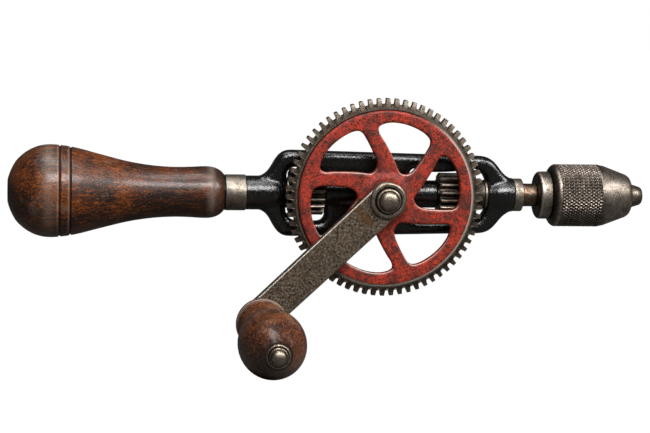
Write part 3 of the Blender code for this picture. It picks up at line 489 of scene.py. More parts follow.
rear_shoulder = smooth_through(from_mm((
    (-60.5, 5.4), (-57.7, 6.9), (-55.2, 7.9), (-53, 9.4), (-51.2, 11.7), (-49.4, 14.9), (-47.4, 17.6),
    (-44.9, 19.3), (-42, 19.8),
)), 5)
front_shoulder = smooth_through(from_mm((
    (44, 18), (47, 17.9), (49.8, 17.2), (52.2, 15.7), (54.3, 13.5), (56.2, 11.1), (58.1, 9.2),
    (60, 7.9), (61.3, 5.4),
)), 5)
frame_upper = rear_shoulder + front_shoulder
frame_lower = [(x, -z) for x, z in reversed(frame_upper)]
rear_window = rounded(from_mm((
    (-43.6, 12.1, 3.4), (-29.6, 11.9, 4), (-25.2, -12.7, 3.4), (-44, -13.1, 6),
)))
front_window = smooth_through(from_mm((
    (12.5, 0), (12.5, 5), (12.8, 9.4), (14.4, 11.9), (17.4, 11.4), (21, 10.5), (28, 10.4), (35.5, 10.9),
    (40, 12), (43.6, 12), (46.8, 10), (48.8, 6.2), (49.4, 0), (48.8, -6.2), (46.8, -10), (43.6, -12),
    (38, -12.2), (30, -12.3), (22, -12.4), (16.6, -12.1), (13.4, -10), (12.5, -5),
)), 5, closed=True)


def rod(back, front, radius, turn=TO_X):
    """A plain closed cylinder, for a solid core or for a cutter."""
    return turned("rod", [(back, 0), (back, radius), (front, radius), (front, 0)], turn, 64)


frame_shapes = (
    plate(
        "bars", [frame_upper + frame_lower, rear_window, front_window],
        -FRAME_THICK / 2, FRAME_THICK / 2, FRAME_ROUND, TO_MINUS_Y, 6,
    ),
    turned("rear_neck", [
        (NECK_REAR - CAST_EXTRA, 0), (NECK_REAR - CAST_EXTRA, NECK_RADIUS), (-54 * MM, NECK_RADIUS),
        (-49 * MM, 7.3 * MM), (-45.5 * MM, 6.2 * MM), (WINDOW_REAR, 5.8 * MM), (WINDOW_REAR, 0),
    ], TO_X),
    turned("front_neck", [
        (WINDOW_FRONT, 0), (WINDOW_FRONT, 5.8 * MM), (50.9 * MM, 6.2 * MM), (54 * MM, 7.3 * MM),
        (57.5 * MM, NECK_RADIUS), (NECK_FRONT + CAST_EXTRA, NECK_RADIUS), (NECK_FRONT + CAST_EXTRA, 0),
    ], TO_X),
    rod(-26.4 * MM, 26.4 * MM, 6.4 * MM),
    turned("hub_boss", from_mm((
        (-10, 0), (-10, 7), (-9, 8), (0, 9.6), (9.9, 9.6), (9.9, 0),
    )), TO_MINUS_Y),
)
frame_cuts = (
    rod(NECK_REAR - CUT_PAST, NECK_REAR, 20 * MM),
    rod(NECK_FRONT, NECK_FRONT + CUT_PAST, 20 * MM),
    rod(-51.5 * MM, NECK_FRONT + CUT_PAST, SPINDLE_BORE),
    rod(BUSH_SEAT - GAP, NECK_FRONT + CUT_PAST, BUSH_RADIUS + GAP),
    rod(NECK_REAR - CUT_PAST, NECK_REAR + 8.8 * MM, 4.2 * MM),
    rod(5.2 * MM, 12 * MM, 4.9 * MM, TO_MINUS_Y),
)
frame_mesh = cast("frame_casting", frame_shapes, 0.5 * MM, 20, frame_cuts)
wear_edges(frame_mesh, 4, 2)


def black_japan():
    """Black japan: deep gloss that breaks into glints over iron as rough as the mould's sand,
    and brown iron where chips are off the edges. The sand's 0.3 mm is drawn 0.9 mm to show."""
    made = blank("black_japanned_cast_iron")
    place = node(made, "ShaderNodeTexCoord", out="Object")
    space = node(made, "ShaderNodeVectorMath", {0: place, "Scale": 1 / MM}, operation="SCALE")
    sand = node(made, "ShaderNodeTexNoise", {
        "Vector": space, "Scale": 1 / 0.9, "Detail": 3, "Roughness": 0.6,
    })
    clouds = node(made, "ShaderNodeTexNoise", {
        "Vector": space, "Scale": 1 / 7, "Detail": 4, "Roughness": 0.6,
    })
    tone = node(made, "ShaderNodeValToRGB", {0: clouds}, stops=(
        (0.35, "#040404"), (0.6, "#090808"), (0.75, "#14100e"),
    ))
    wear_and_highlight = node(made, "ShaderNodeAttribute", out="Fac", attribute_name="wear_and_highlight")
    chips = node(made, "ShaderNodeMath", {0: wear_and_highlight, 1: sand}, operation="MULTIPLY")
    bare = node(made, "ShaderNodeMapRange", {0: chips, 1: 0.25, 2: 0.42, 3: 0, 4: 0.7})
    seen = node(made, "ShaderNodeMixRGB", {0: bare, 1: tone, 2: colour("#4a4038")})
    gloss = node(made, "ShaderNodeMapRange", {0: sand, 1: 0.35, 2: 0.65, 3: 0.14, 4: 0.3})
    skin = node(made, "ShaderNodeBump", {"Height": sand, "Strength": 0.42, "Distance": 0.36 * MM})
    shader = node(made, "ShaderNodeBsdfPrincipled", {
        "Base Color": seen, "Roughness": gloss, "IOR": 1.68, "Normal": skin,
    })
    node(made, "ShaderNodeOutputMaterial", {"Surface": shader})
    return made


fit("frame_casting", frame_mesh, black_japan(), "frame", "black_japan", "frame")


# Spindle and nose bush. The spindle is a turned steel rod in two bearings. The bush is a steel
# ring pressed in the front neck, and its collar takes the spindle's shoulder.
BUSH_FRONT = NECK_FRONT + GAP + 4.2 * MM
bush_profile = [
    (BUSH_SEAT, SPINDLE_BORE), (BUSH_SEAT, BUSH_RADIUS), (NECK_FRONT + GAP, BUSH_RADIUS),
    (NECK_FRONT + GAP, 7.6 * MM), (BUSH_FRONT, 7.6 * MM), (BUSH_FRONT, SPINDLE_BORE),
]
fit(
    "nose_bush_collar", turned("nose_bush_collar", eased(bush_profile, 0.6 * MM), TO_X),
    WORN_STEEL, "frame", "worn_steel", "nose_bush",
)
BROWNED_STEEL = aged_steel("browned_turned_steel", "#2f2016", "#6b5443", "#a5907d", 0.34, rings=0)
spindle_profile = [
    (-51.2 * MM, 0), (-51.2 * MM, 4 * MM), (BUSH_FRONT + GAP, 4 * MM), (BUSH_FRONT + GAP, 5.3 * MM),
    (72.7 * MM, 5.3 * MM), (72.7 * MM, 4.6 * MM), (89.7 * MM, 4.6 * MM), (89.7 * MM, 0),
]
fit(
    "spindle_rod", turned("spindle_rod", eased(spindle_profile, 0.5 * MM), TO_X),
    BROWNED_STEEL, "spindle", "turned_steel", "spindle",
)


# Pinions. Two small bevel gears of steel, cut with sixteen teeth each, that the wheel turns
# opposite ways. The front one is pinned to the spindle, the rear one runs free on it.
TEETH = 68
PINION_TEETH = 16
CONE_SLOPE = PINION_TEETH / TEETH
PITCH_RADIUS = 43.8 * MM
RING_INNER = 38 * MM
TOOTH_FORM = (
    (0.0, 1.0), (0.085, 1.0), (0.13, 0.94), (0.168, 0.8), (0.208, 0.5), (0.245, 0.2), (0.285, 0.06),
    (0.34, 0.0), (0.42, 0.0), (0.5, 0.0), (0.58, 0.0), (0.66, 0.0), (0.715, 0.06), (0.755, 0.2),
    (0.792, 0.5), (0.832, 0.8), (0.87, 0.94), (0.915, 1.0),
)


def cone_height(radius, offset):
    """How far a gear's cone lies from its axis plane at a radius, with teeth that shrink inwards."""
    return radius * (CONE_SLOPE + offset / PITCH_RADIUS)


def toothed(name, teeth, section_at, point_at, turn):
    """A gear's skin. section_at gives its (along, across) outline for how far up a tooth it is."""
    sculpt = bmesh.new()
    columns = []
    for tooth in range(teeth):
        for share, up in TOOTH_FORM:
            angle = (tooth + share) * math.tau / teeth
            columns.append([sculpt.verts.new(point_at(angle, *pair)) for pair in section_at(up)])
    for here, there in zip(columns, columns[1:] + columns[:1]):
        for k in range(len(here)):
            n = (k + 1) % len(here)
            sculpt.faces.new((here[k], there[k], there[n], here[n]))
    return finished(sculpt, name, turn)


def pinion(name, heel, hub_end, turn):
    """A pinion whose teeth follow the wheel's cone under its ring and run straight inside it."""
    toe = 26.7 * MM
    hub = 6.6 * MM

    def section(up):
        low = -1.5 * MM + 2.6 * MM * up
        edge = 0.5 * MM * up
        drum = cone_height(RING_INNER, low)
        outline = [(toe, SPINDLE_BORE), (toe, drum - edge), (toe + edge, drum)]
        outline += [(toe + (RING_INNER - toe) * k / 4, drum) for k in (1, 2, 3, 4)]
        outline += [(x * MM, cone_height(x * MM, low)) for x in (39.5, 41)]
        outline += [(heel - edge, cone_height(heel, low)), (heel, cone_height(heel, low) - edge)]
        if hub_end > heel:
            outline += [(heel, hub), (hub_end, hub)]
        return outline + [(max(hub_end, heel), SPINDLE_BORE)]

    def point(angle, along, across):
        turned_by = angle + math.pi / PINION_TEETH
        return (across * math.sin(turned_by), -across * math.cos(turned_by), along)

    # Darker between the teeth, and painted shade on the rear pinion's heel behind the wheel.
    def grime_and_shade(place):
        in_valley = (9.3 - math.hypot(place.y, place.z)) / 1.4
        on_rear_heel = (-37 - place.x) / 3
        return 0.9 * min(1.0, max(0.0, in_valley, on_rear_heel))

    mesh = toothed(name, PINION_TEETH, section, point, turn)
    mark(mesh, "grime_and_shade", grime_and_shade)
    wear_edges(mesh, 1.6, 0)
    return mesh


GEAR_STEEL = aged_steel("cut_gear_steel", "#4a3e33", "#7d7265", "#aa9f92", 0.38)
PINION_HUB_END = 47.8 * MM
IDLER_END = 42.4 * MM
fit(
    "drive_pinion_teeth", pinion("drive_pinion_teeth", 42.3 * MM, PINION_HUB_END, TO_X),
    GEAR_STEEL, "spindle", "gear_steel", "drive_pinion",
)
fit(
    "idler_pinion_teeth",
    pinion("idler_pinion_teeth", IDLER_END, IDLER_END, Matrix.Rotation(math.radians(-90), 4, "Y")),
    GEAR_STEEL, "idler", "gear_steel", "idler_pinion",
)
pin_profile = eased(from_mm(((-7.3, 0), (-7.3, 1.3), (7.3, 1.3), (7.3, 0))), 0.3 * MM)
pin_mesh = turned("cross_pin", pin_profile, Matrix.Translation((45.05 * MM, 0, 0)), 32)
fit("cross_pin", pin_mesh, TURNED_STEEL, "spindle", "worn_steel", "pinion_pin")
for name, back in (("drive_thrust_washer", 48.1 * MM), ("idler_thrust_washer", -43.7 * MM)):
    washer_profile = [
        (back, SPINDLE_BORE), (back, 6.9 * MM), (back + 1 * MM, 6.9 * MM), (back + 1 * MM, SPINDLE_BORE),
    ]
    washer_mesh = turned(name + "_ring", eased(washer_profile, 0.25 * MM), TO_X)
    fit(name + "_ring", washer_mesh, TURNED_STEEL, "frame", "worn_steel", name)


# Drive wheel. One iron casting with six swept spokes and a toothed ring on the back of its rim.
# The face is painted red, and years of use have rubbed the paint off its edges, which carry a painted
# highlight where they face up and on the rim away from its top left.
WHEEL_FACE = 16.3 * MM
WHEEL_BACK = 12 * MM
RIM_RADIUS = 39.8 * MM
STUD_BORE = 3.25 * MM
SPIGOT_HALF = 4.6 * MM
SPOKES = 6
OPENING_ANGLE = math.radians(74)
OPENING_INNER = 13 * MM
OPENING_OUTER = 34.5 * MM
OPENING_SHARES = (
    (0.93, 0.372), (0.993, 0.228), (1.0, 0.033), (0.987, -0.167), (0.955, -0.313),
    (0.865, -0.38), (0.695, -0.412), (0.471, -0.444), (0.247, -0.474), (0.1, -0.45),
    (0.015, -0.32), (0.02, -0.165), (0.165, 0.03), (0.381, 0.2), (0.605, 0.315),
    (0.805, 0.39),
)


def circle(radius, steps, along=0):
    """A circle's outline, its centre this far along the first axis."""
    angles = [math.tau * step / steps for step in range(steps)]
    return [(along + radius * math.cos(angle), radius * math.sin(angle)) for angle in angles]


def square(half):
    """A square's outline, given half its width."""
    return [(x * half, y * half) for x, y in ((-1, -1), (1, -1), (1, 1), (-1, 1))]


openings = []
for spoke in range(SPOKES):
    outline = []
    for reach, sweep in OPENING_SHARES:
        radius = OPENING_INNER + (OPENING_OUTER - OPENING_INNER) * reach
        angle = OPENING_ANGLE + (spoke + sweep) * math.tau / SPOKES
        outline.append((radius * math.cos(angle), radius * math.sin(angle)))
    openings.append(smooth_through(outline, 6, closed=True))
CRANK_ANGLE = math.radians(-135)
TO_CRANK = TO_MINUS_Y @ Matrix.Rotation(CRANK_ANGLE, 4, "Z")
CRANK_FRONT = 22.1 * MM
wheel_shapes = (
    plate(
        "wheel_face", [circle(RIM_RADIUS, 240)] + openings,
        WHEEL_BACK, WHEEL_FACE, 0.9 * MM, TO_MINUS_Y,
    ),
    turned("wheel_hub", from_mm((
        (10.2, 0), (10.2, 9.6), (16.1, 13), (17.1, 9.4), (17.1, 0),
    )), TO_MINUS_Y),
)
wheel_bore = rod(0, 25 * MM, STUD_BORE, TO_MINUS_Y)
wheel_mesh = cast("wheel_face", wheel_shapes, 0.4 * MM, 4, [wheel_bore])


def wheel_wear_and_highlight(vertex):
    """Paint rubbed off the edges, with a painted highlight that makes it strongest on edges facing up
    and on the rim's edge away from its top left.
    """
    on_edge = max(0.0, 1 - abs(0.6 + vertex.normal.y) / 0.4)
    place = vertex.co / MM
    if math.hypot(place.x, place.z) < 38.3:
        return on_edge * (0.3 + 0.7 * max(0.0, vertex.normal.z / 0.7))
    return on_edge * min(1.0, max(0.1, 0.75 + (place.x - 0.8 * place.z) / 30))


def red_enamel():
    """Red enamel brushed on cast iron: half dull, clouded with dirt and dark specks, and pale on its
    edges, where it is rubbed to iron and where a highlight is painted."""
    made = blank("red_enamel_on_cast_iron")
    place = node(made, "ShaderNodeTexCoord", out="Object")
    space = node(made, "ShaderNodeVectorMath", {0: place, "Scale": 1 / MM}, operation="SCALE")
    clouds = node(made, "ShaderNodeTexNoise", {
        "Vector": space, "Scale": 1 / 6, "Detail": 5, "Roughness": 0.62,
    })
    sand = node(made, "ShaderNodeTexNoise", {
        "Vector": space, "Scale": 1 / 0.7, "Detail": 4, "Roughness": 0.7,
    })
    tone = node(made, "ShaderNodeValToRGB", {0: clouds}, stops=(
        (0.34, "#54190f"), (0.46, "#9a2f1e"), (0.6, "#ba3824"), (0.72, "#7d2c1e"),
    ))
    blots = node(made, "ShaderNodeTexNoise", {
        "Vector": space, "Scale": 1 / 2.2, "Detail": 5, "Roughness": 0.75, "Distortion": 0.4,
    })
    dirt = node(made, "ShaderNodeMapRange", {0: blots, 1: 0.48, 2: 0.6, 3: 0, 4: 0.8})
    darkened = node(made, "ShaderNodeMixRGB", {0: dirt, 1: tone, 2: colour("#4a2a20")})
    specks = node(made, "ShaderNodeMapRange", {0: sand, 1: 0.52, 2: 0.58, 3: 0, 4: 0.95})
    specked = node(made, "ShaderNodeMixRGB", {0: specks, 1: darkened, 2: colour("#2a130d")})
    # Pale iron on the edges: rubbed paint and a painted highlight on edges that face the light.
    wear_and_highlight = node(made, "ShaderNodeAttribute", out="Fac", attribute_name="wear_and_highlight")
    patchy = node(made, "ShaderNodeMath", {0: sand, 1: 0.9, 2: wear_and_highlight}, operation="MULTIPLY_ADD")
    bare = node(made, "ShaderNodeMapRange", {0: patchy, 1: 0.8, 2: 1.1, 3: 0, 4: 0.95})
    seen = node(made, "ShaderNodeMixRGB", {0: bare, 1: specked, 2: colour("#d6c2b4")})
    gloss = node(made, "ShaderNodeMapRange", {0: clouds, 1: 0.3, 2: 0.7, 3: 0.55, 4: 0.4})
    skin = node(made, "ShaderNodeBump", {"Height": sand, "Strength": 0.6, "Distance": 0.35 * MM})
    metal = node(made, "ShaderNodeMath", {0: bare, 1: 0.3}, operation="MULTIPLY")
    shader = node(made, "ShaderNodeBsdfPrincipled", {
        "Base Color": seen, "Roughness": gloss, "Metallic": metal, "IOR": 1.42, "Normal": skin,
    })
    node(made, "ShaderNodeOutputMaterial", {"Surface": shader})
    return made


store(wheel_mesh, "wear_and_highlight", [wheel_wear_and_highlight(vertex) for vertex in wheel_mesh.vertices])
fit("wheel_face", wheel_mesh, red_enamel(), "crank_wheel", "red_paint", "drive_wheel")

RING_FACE = 15.3 * MM


def ring_section(up):
    """A flat band against the red face, and teeth that slope back from it."""
    heel = (42.6 + 2.45 * min(1.0, 1.35 * up)) * MM
    offset = (1.5 - 2.6 * up) * MM
    swell = min(1.0, 2.6 * up)
    near = (42.5 + 2.55 * swell) * MM
    front = RING_FACE - 0.7 * MM * swell
    back = cone_height(heel, offset)
    ease = 0.4 * MM
    return [
        (RING_INNER, RING_FACE), (40.1 * MM, RING_FACE), (40.5 * MM, RING_FACE), (41.3 * MM, RING_FACE),
        (41.7 * MM, RING_FACE - 0.15 * MM), (near - ease, front), (near - 0.1 * MM, front - 0.1 * MM),
        (near, front - ease), (heel, back + ease), (heel - 0.1 * MM, back + 0.1 * MM),
        (heel - ease, back), (40.5 * MM, cone_height(40.5 * MM, offset)),
        (RING_INNER + ease, cone_height(RING_INNER + ease, offset)),
        (RING_INNER, cone_height(RING_INNER, offset) + ease),
    ]


def top_left(place):
    """1 on the wheel's upper left half, 0 on the other, with a soft line between them."""
    return min(1.0, max(0.0, 0.5 + (0.6 * place.z - place.x) / 20))


def ring_painted_shade(place):
    """Painted shade between the teeth, and a painted shadow in the corner by the red face on the upper
    left.
    """
    radius = math.hypot(place.x, place.z)
    by_red = 0.9 * top_left(place) * (radius < 40.3)
    between_teeth = 0.65 * (radius >= 41.25) * min(1.0, max(0.0, (44.4 - radius) / 2.2))
    return max(by_red, between_teeth)


def ring_painted_highlight(place):
    """A painted highlight round the red face, but for its top left."""
    return 0.9 * (1 - top_left(place)) * (math.hypot(place.x, place.z) < 40.3)


def ring_point(angle, radius, height):
    """Where a point of the ring's outline comes to lie at an angle about the stud."""
    return (radius * math.cos(angle), radius * math.sin(angle), height)


ring_mesh = toothed("wheel_teeth", TEETH, ring_section, ring_point, TO_MINUS_Y)
mark(ring_mesh, "grime_and_shade", ring_painted_shade)
mark(ring_mesh, "wear_and_highlight", ring_painted_highlight)
RING_STEEL = aged_steel("toothed_cast_iron", "#3a2f25", "#716559", "#9f9386", 0.44)
fit("wheel_teeth", ring_mesh, RING_STEEL, "crank_wheel", "gear_steel")
spigot_mesh = plate(
    "wheel_spigot", [square(SPIGOT_HALF)], WHEEL_FACE, CRANK_FRONT - GAP, 0.3 * MM, TO_CRANK
)
fit("wheel_spigot", spigot_mesh, RING_STEEL, "crank_wheel", "gear_steel")


# Crank arm. A flat steel bar with round ends, forged and left black, now pitted brown-grey and
# rubbed bright along its edges, with a painted highlight that makes the upper edge brighter. A
# square hole drops over the wheel's spigot. The far end's round lies CRANK_SIDE beside the knob's
# pin, on the upper left.
CRANK_BACK = 17.4 * MM
CRANK_LENGTH = 79.1 * MM
CRANK_HUB = 8.2 * MM
CRANK_END = 7.7 * MM
CRANK_SIDE = 1.8 * MM
KNOB_PIN_RADIUS = 3 * MM
END_STEPS = 32
lean = math.acos((CRANK_HUB - CRANK_END) / CRANK_LENGTH)
crank_outline = []
for step in range(END_STEPS + 1):
    angle = lean + (math.tau - 2 * lean) * step / END_STEPS
    crank_outline.append((CRANK_HUB * math.cos(angle), CRANK_HUB * math.sin(angle)))
for step in range(END_STEPS + 1):
    angle = -lean + 2 * lean * step / END_STEPS
    end = (CRANK_LENGTH + CRANK_END * math.cos(angle), CRANK_END * math.sin(angle) - CRANK_SIDE)
    crank_outline.append(end)
crank_holes = [square(SPIGOT_HALF + GAP), circle(KNOB_PIN_RADIUS + GAP, 32, CRANK_LENGTH)]
crank_shape = plate(
    "crank_bar", [crank_outline] + crank_holes, CRANK_BACK, CRANK_FRONT, 0.6 * MM, TO_CRANK
)
crank_mesh = cast("crank_bar", [crank_shape], 0.32 * MM, 1)
in_crank = TO_CRANK.inverted()


def crank_edge(place):
    """The front face's rim, rubbed bright; a painted highlight makes the upper side full strength and
    the lower a quarter as much.
    """
    local = in_crank @ (place * MM)
    along = min(max(local.x / CRANK_LENGTH, 0), 1)
    half = CRANK_HUB + (CRANK_END - CRANK_HUB) * along
    off = (local - Vector((CRANK_LENGTH, -CRANK_SIDE, 0)) * along).xy.length
    on_front = local.z > CRANK_FRONT - 0.9 * MM
    on_edge = on_front * max(0.0, 1 - abs(half - 0.35 * MM - off) / (0.4 * MM))
    return on_edge * (1.0 if local.y < 0 else 0.25)


def pitted_steel():
    """Forged steel gone rough: small dark pits in paler metal, brown where it has rusted, and
    bright where it is rubbed and where a highlight is painted on."""
    made = blank("pitted_forged_steel")
    place = node(made, "ShaderNodeTexCoord", out="Object")
    space = node(made, "ShaderNodeVectorMath", {0: place, "Scale": 1 / MM}, operation="SCALE")
    clouds = node(made, "ShaderNodeTexNoise", {
        "Vector": space, "Scale": 1 / 8, "Detail": 4, "Roughness": 0.6,
    })
    pits = node(made, "ShaderNodeTexNoise", {
        "Vector": space, "Scale": 1 / 1.1, "Detail": 4, "Roughness": 0.72,
    })
    tone = node(made, "ShaderNodeValToRGB", {0: pits}, stops=(
        (0.37, "#22170f"), (0.46, "#6a5b4b"), (0.55, "#8e7f6e"), (0.65, "#cbbcab"),
    ))
    shade = node(made, "ShaderNodeMapRange", {0: clouds, 1: 0.35, 2: 0.6, 3: 0.3, 4: 0})
    dim = node(made, "ShaderNodeMixRGB", {0: shade, 1: tone, 2: colour("#2c221a")})
    rust = node(made, "ShaderNodeAttribute", out="Fac", attribute_name="rust")
    rusty = node(made, "ShaderNodeMath", {0: rust, 1: pits}, operation="MULTIPLY")
    rusted = node(made, "ShaderNodeMapRange", {0: rusty, 1: 0.3, 2: 0.52, 3: 0, 4: 0.7})
    stained = node(made, "ShaderNodeMixRGB", {0: rusted, 1: dim, 2: colour("#7d4f1c")})
    wear_and_highlight = node(made, "ShaderNodeAttribute", out="Fac", attribute_name="wear_and_highlight")
    seen = node(made, "ShaderNodeMixRGB", {0: wear_and_highlight, 1: stained, 2: colour("#e0d5ca")})
    gloss = node(made, "ShaderNodeMapRange", {0: pits, 1: 0.4, 2: 0.6, 3: 0.6, 4: 0.4})
    skin = node(made, "ShaderNodeBump", {"Height": pits, "Strength": 0.7, "Distance": 0.35 * MM})
    shader = node(made, "ShaderNodeBsdfPrincipled", {
        "Base Color": seen, "Roughness": gloss, "Metallic": 1.0, "Normal": skin,
    })
    node(made, "ShaderNodeOutputMaterial", {"Surface": shader})
    return made


def crank_rust(place):
    """A brown stain where the washer has kept the bar damp."""
    local = in_crank @ (place * MM) / MM
    return max(0.0, 1 - abs(local.x - 13) / 6) * (0.5 + 0.5 * (local.y < 3))


# Rubbed edges, with a painted highlight on the upper edge.
mark(crank_mesh, "wear_and_highlight", crank_edge)
mark(crank_mesh, "rust", crank_rust)
fit("crank_bar", crank_mesh, pitted_steel(), "crank_wheel", "pitted_steel", "crank_arm")


# Wheel stud with its washer and domed nut. The stud is screwed in the frame's boss and the wheel
# turns on it. Washer and nut are turned steel, darker in their corners.
stud_profile = [
    (5.5 * MM, 0), (5.5 * MM, 4.6 * MM), (9.9 * MM, 4.6 * MM), (9.9 * MM, 3 * MM),
    (CRANK_FRONT, 3 * MM), (CRANK_FRONT, 2.5 * MM), (25.85 * MM, 2.5 * MM), (25.85 * MM, 0),
]
fit(
    "stud_rod", turned("stud_rod", eased(stud_profile, 0.3 * MM), TO_MINUS_Y, 48),
    TURNED_STEEL, "frame", "turned_steel", "wheel_stud",
)
NUT_STEEL = aged_steel("browned_nut_steel", "#53473a", "#887b6c", "#bcb0a2", 0.35, rings=1)
WASHER_BACK = CRANK_FRONT + GAP
WASHER_FRONT = WASHER_BACK + 1.5 * MM
washer_profile = [
    (WASHER_BACK, 2.8 * MM), (WASHER_BACK, 8.4 * MM), (WASHER_FRONT - 0.7 * MM, 8.4 * MM),
    (WASHER_FRONT, 7.7 * MM), (WASHER_FRONT, 6.3 * MM), (WASHER_FRONT - 0.4 * MM, 6 * MM),
    (WASHER_FRONT - 0.4 * MM, 2.8 * MM),
]
stud_washer_mesh = turned("stud_washer_ring", eased(washer_profile, 0.45 * MM), TO_MINUS_Y)
mark(stud_washer_mesh, "grime_and_shade", lambda p: 0.85 * (math.hypot(p.x, p.z) < 6.15))
fit("stud_washer_ring", stud_washer_mesh, NUT_STEEL, "frame", "aged_steel", "stud_washer")


def domed_nut(name, back, radius, bore, height, turn, bore_end):
    """A blind nut: a round collar, a narrow waist and a low crown."""
    collar = radius * 1.3
    step = height * 0.34
    profile = [(bore_end, 0), (bore_end, bore), (back, bore), (back, collar * 0.96)]
    profile += eased([
        (back, collar * 0.96), (back + step * 0.3, collar), (back + step * 0.75, collar * 0.98),
        (back + step, collar * 0.9), (back + step, radius * 1.03), (back + step * 0.93, radius * 0.98),
        (back + step * 1.25, radius),
    ], 0.3 * MM)[1:]
    profile += smooth_through([
        (back + step * 1.25, radius), (back + height * 0.66, radius * 0.94),
        (back + height * 0.85, radius * 0.7), (back + height * 0.97, radius * 0.34), (back + height, 0),
    ], 6)[1:]
    return turned(name, profile, turn, 72)


stud_nut_mesh = domed_nut(
    "stud_nut_dome", WASHER_FRONT + GAP, 4.35 * MM, 2.8 * MM, 3.9 * MM, TO_MINUS_Y, 26.15 * MM
)
mark(stud_nut_mesh, "grime_and_shade", lambda p: 0.9 * max(
    0.0, 1 - abs(math.hypot(p.x, p.z) - 4.55) / 0.4, 1 - (-p.y - 24.2) / 0.5
))
fit("stud_nut_dome", stud_nut_mesh, NUT_STEEL, "frame", "aged_steel", "stud_nut")


# Crank knob. Turned walnut with a double bead where it meets the arm, darker than the handle and
# polished by the palm, with painted highlights on its two beads. It spins on a riveted pin under a
# washer and a domed nut.
KNOB_LENGTH = 69 * MM
KNOB_RADIUS = 14.7 * MM
KNOB_BORE = 3.25 * MM
KNOB_SHARES = (
    (0.0, 0.7), (0.01, 0.77), (0.033, 0.8), (0.058, 0.78), (0.074, 0.705), (0.086, 0.76),
    (0.102, 0.775), (0.125, 0.73), (0.17, 0.66), (0.25, 0.615), (0.34, 0.67), (0.43, 0.81),
    (0.53, 0.94), (0.63, 1.0), (0.73, 0.98), (0.82, 0.875), (0.9, 0.705), (0.955, 0.535), (1.0, 0.41),
)
TO_KNOB = Matrix.Translation((
    CRANK_LENGTH * math.cos(CRANK_ANGLE), 0, CRANK_LENGTH * math.sin(CRANK_ANGLE),
)) @ TO_MINUS_Y
KNOB_BACK = CRANK_FRONT + GAP
KNOB_FRONT = KNOB_BACK + KNOB_LENGTH
knob_curve = smooth_through([
    (KNOB_BACK + s * KNOB_LENGTH, r * KNOB_RADIUS) for s, r in KNOB_SHARES
], 10)
knob_profile = [(KNOB_BACK, KNOB_BORE)] + knob_curve + [(KNOB_FRONT, KNOB_BORE)]
knob_mesh = turned("crank_knob_wood", knob_profile, TO_KNOB)


def knob_darkening(place):
    """Darker in the groove between the two beads and at both ends."""
    station = -place.y - KNOB_BACK / MM
    in_bead = math.exp(-((station - 4.65) / 0.5) ** 2)
    at_ends = max(math.exp(-station / 0.8), math.exp((station - KNOB_LENGTH / MM) / 1.4))
    return min(1.0, 0.8 * in_bead + 0.8 * at_ends)


mark(knob_mesh, "grime_and_shade", knob_darkening)
# Two pale rings on the beads, painted highlights.
mark(knob_mesh, "wax_and_highlight", lambda p: 1.8 * max(
    math.exp(-((-p.y - KNOB_BACK / MM - station) / 0.4) ** 2) for station in (4.0, 6.8)
))
DARK_WALNUT = walnut("palm_polished_walnut", "#160a06", "#3f1d0e", "#834923", 1, 0.5)
fit("crank_knob_wood", knob_mesh, DARK_WALNUT, "knob", "dark_walnut", "crank_knob")
knob_pin_profile = [
    (15.7 * MM, 0), (15.7 * MM, 5.2 * MM), (17.1 * MM, 5.2 * MM), (17.1 * MM, KNOB_PIN_RADIUS),
    (KNOB_FRONT, KNOB_PIN_RADIUS), (KNOB_FRONT, 2.4 * MM), (KNOB_FRONT + 3.3 * MM, 2.4 * MM),
    (KNOB_FRONT + 3.3 * MM, 0),
]
fit(
    "knob_pin_rod", turned("knob_pin_rod", eased(knob_pin_profile, 0.4 * MM), TO_KNOB, 48),
    TURNED_STEEL, "crank_wheel", "turned_steel", "knob_pin",
)
knob_washer_profile = [
    (KNOB_FRONT + GAP, 2.7 * MM), (KNOB_FRONT + GAP, 5.3 * MM), (KNOB_FRONT + 0.9 * MM, 5.3 * MM),
    (KNOB_FRONT + 1.3 * MM, 4.9 * MM), (KNOB_FRONT + 1.3 * MM, 4.5 * MM),
    (KNOB_FRONT + 1 * MM, 4.3 * MM), (KNOB_FRONT + 1 * MM, 2.7 * MM),
]


def knob_nut_darkening(place):
    """Darker between the washer's rim and the nut's foot."""
    across = (TO_KNOB.inverted() @ (place * MM)).xy.length / MM
    return 0.9 * max(0.0, 1 - abs(across - 3.4) / 0.35, 1 - abs(across - 4.25) / 0.3)


knob_washer_mesh = turned("knob_washer_ring", eased(knob_washer_profile, 0.3 * MM), TO_KNOB, 72)
mark(knob_washer_mesh, "grime_and_shade", knob_nut_darkening)
fit("knob_washer_ring", knob_washer_mesh, NUT_STEEL, "crank_wheel", "aged_steel", "knob_washer")
knob_nut_mesh = domed_nut(
    "knob_nut_dome", KNOB_FRONT + 1.3 * MM, 3.2 * MM, 2.7 * MM, 3.5 * MM, TO_KNOB,
    KNOB_FRONT + 3.6 * MM,
)
mark(knob_nut_mesh, "grime_and_shade", knob_nut_darkening)
fit("knob_nut_dome", knob_nut_mesh, NUT_STEEL, "crank_wheel", "aged_steel", "knob_nut")


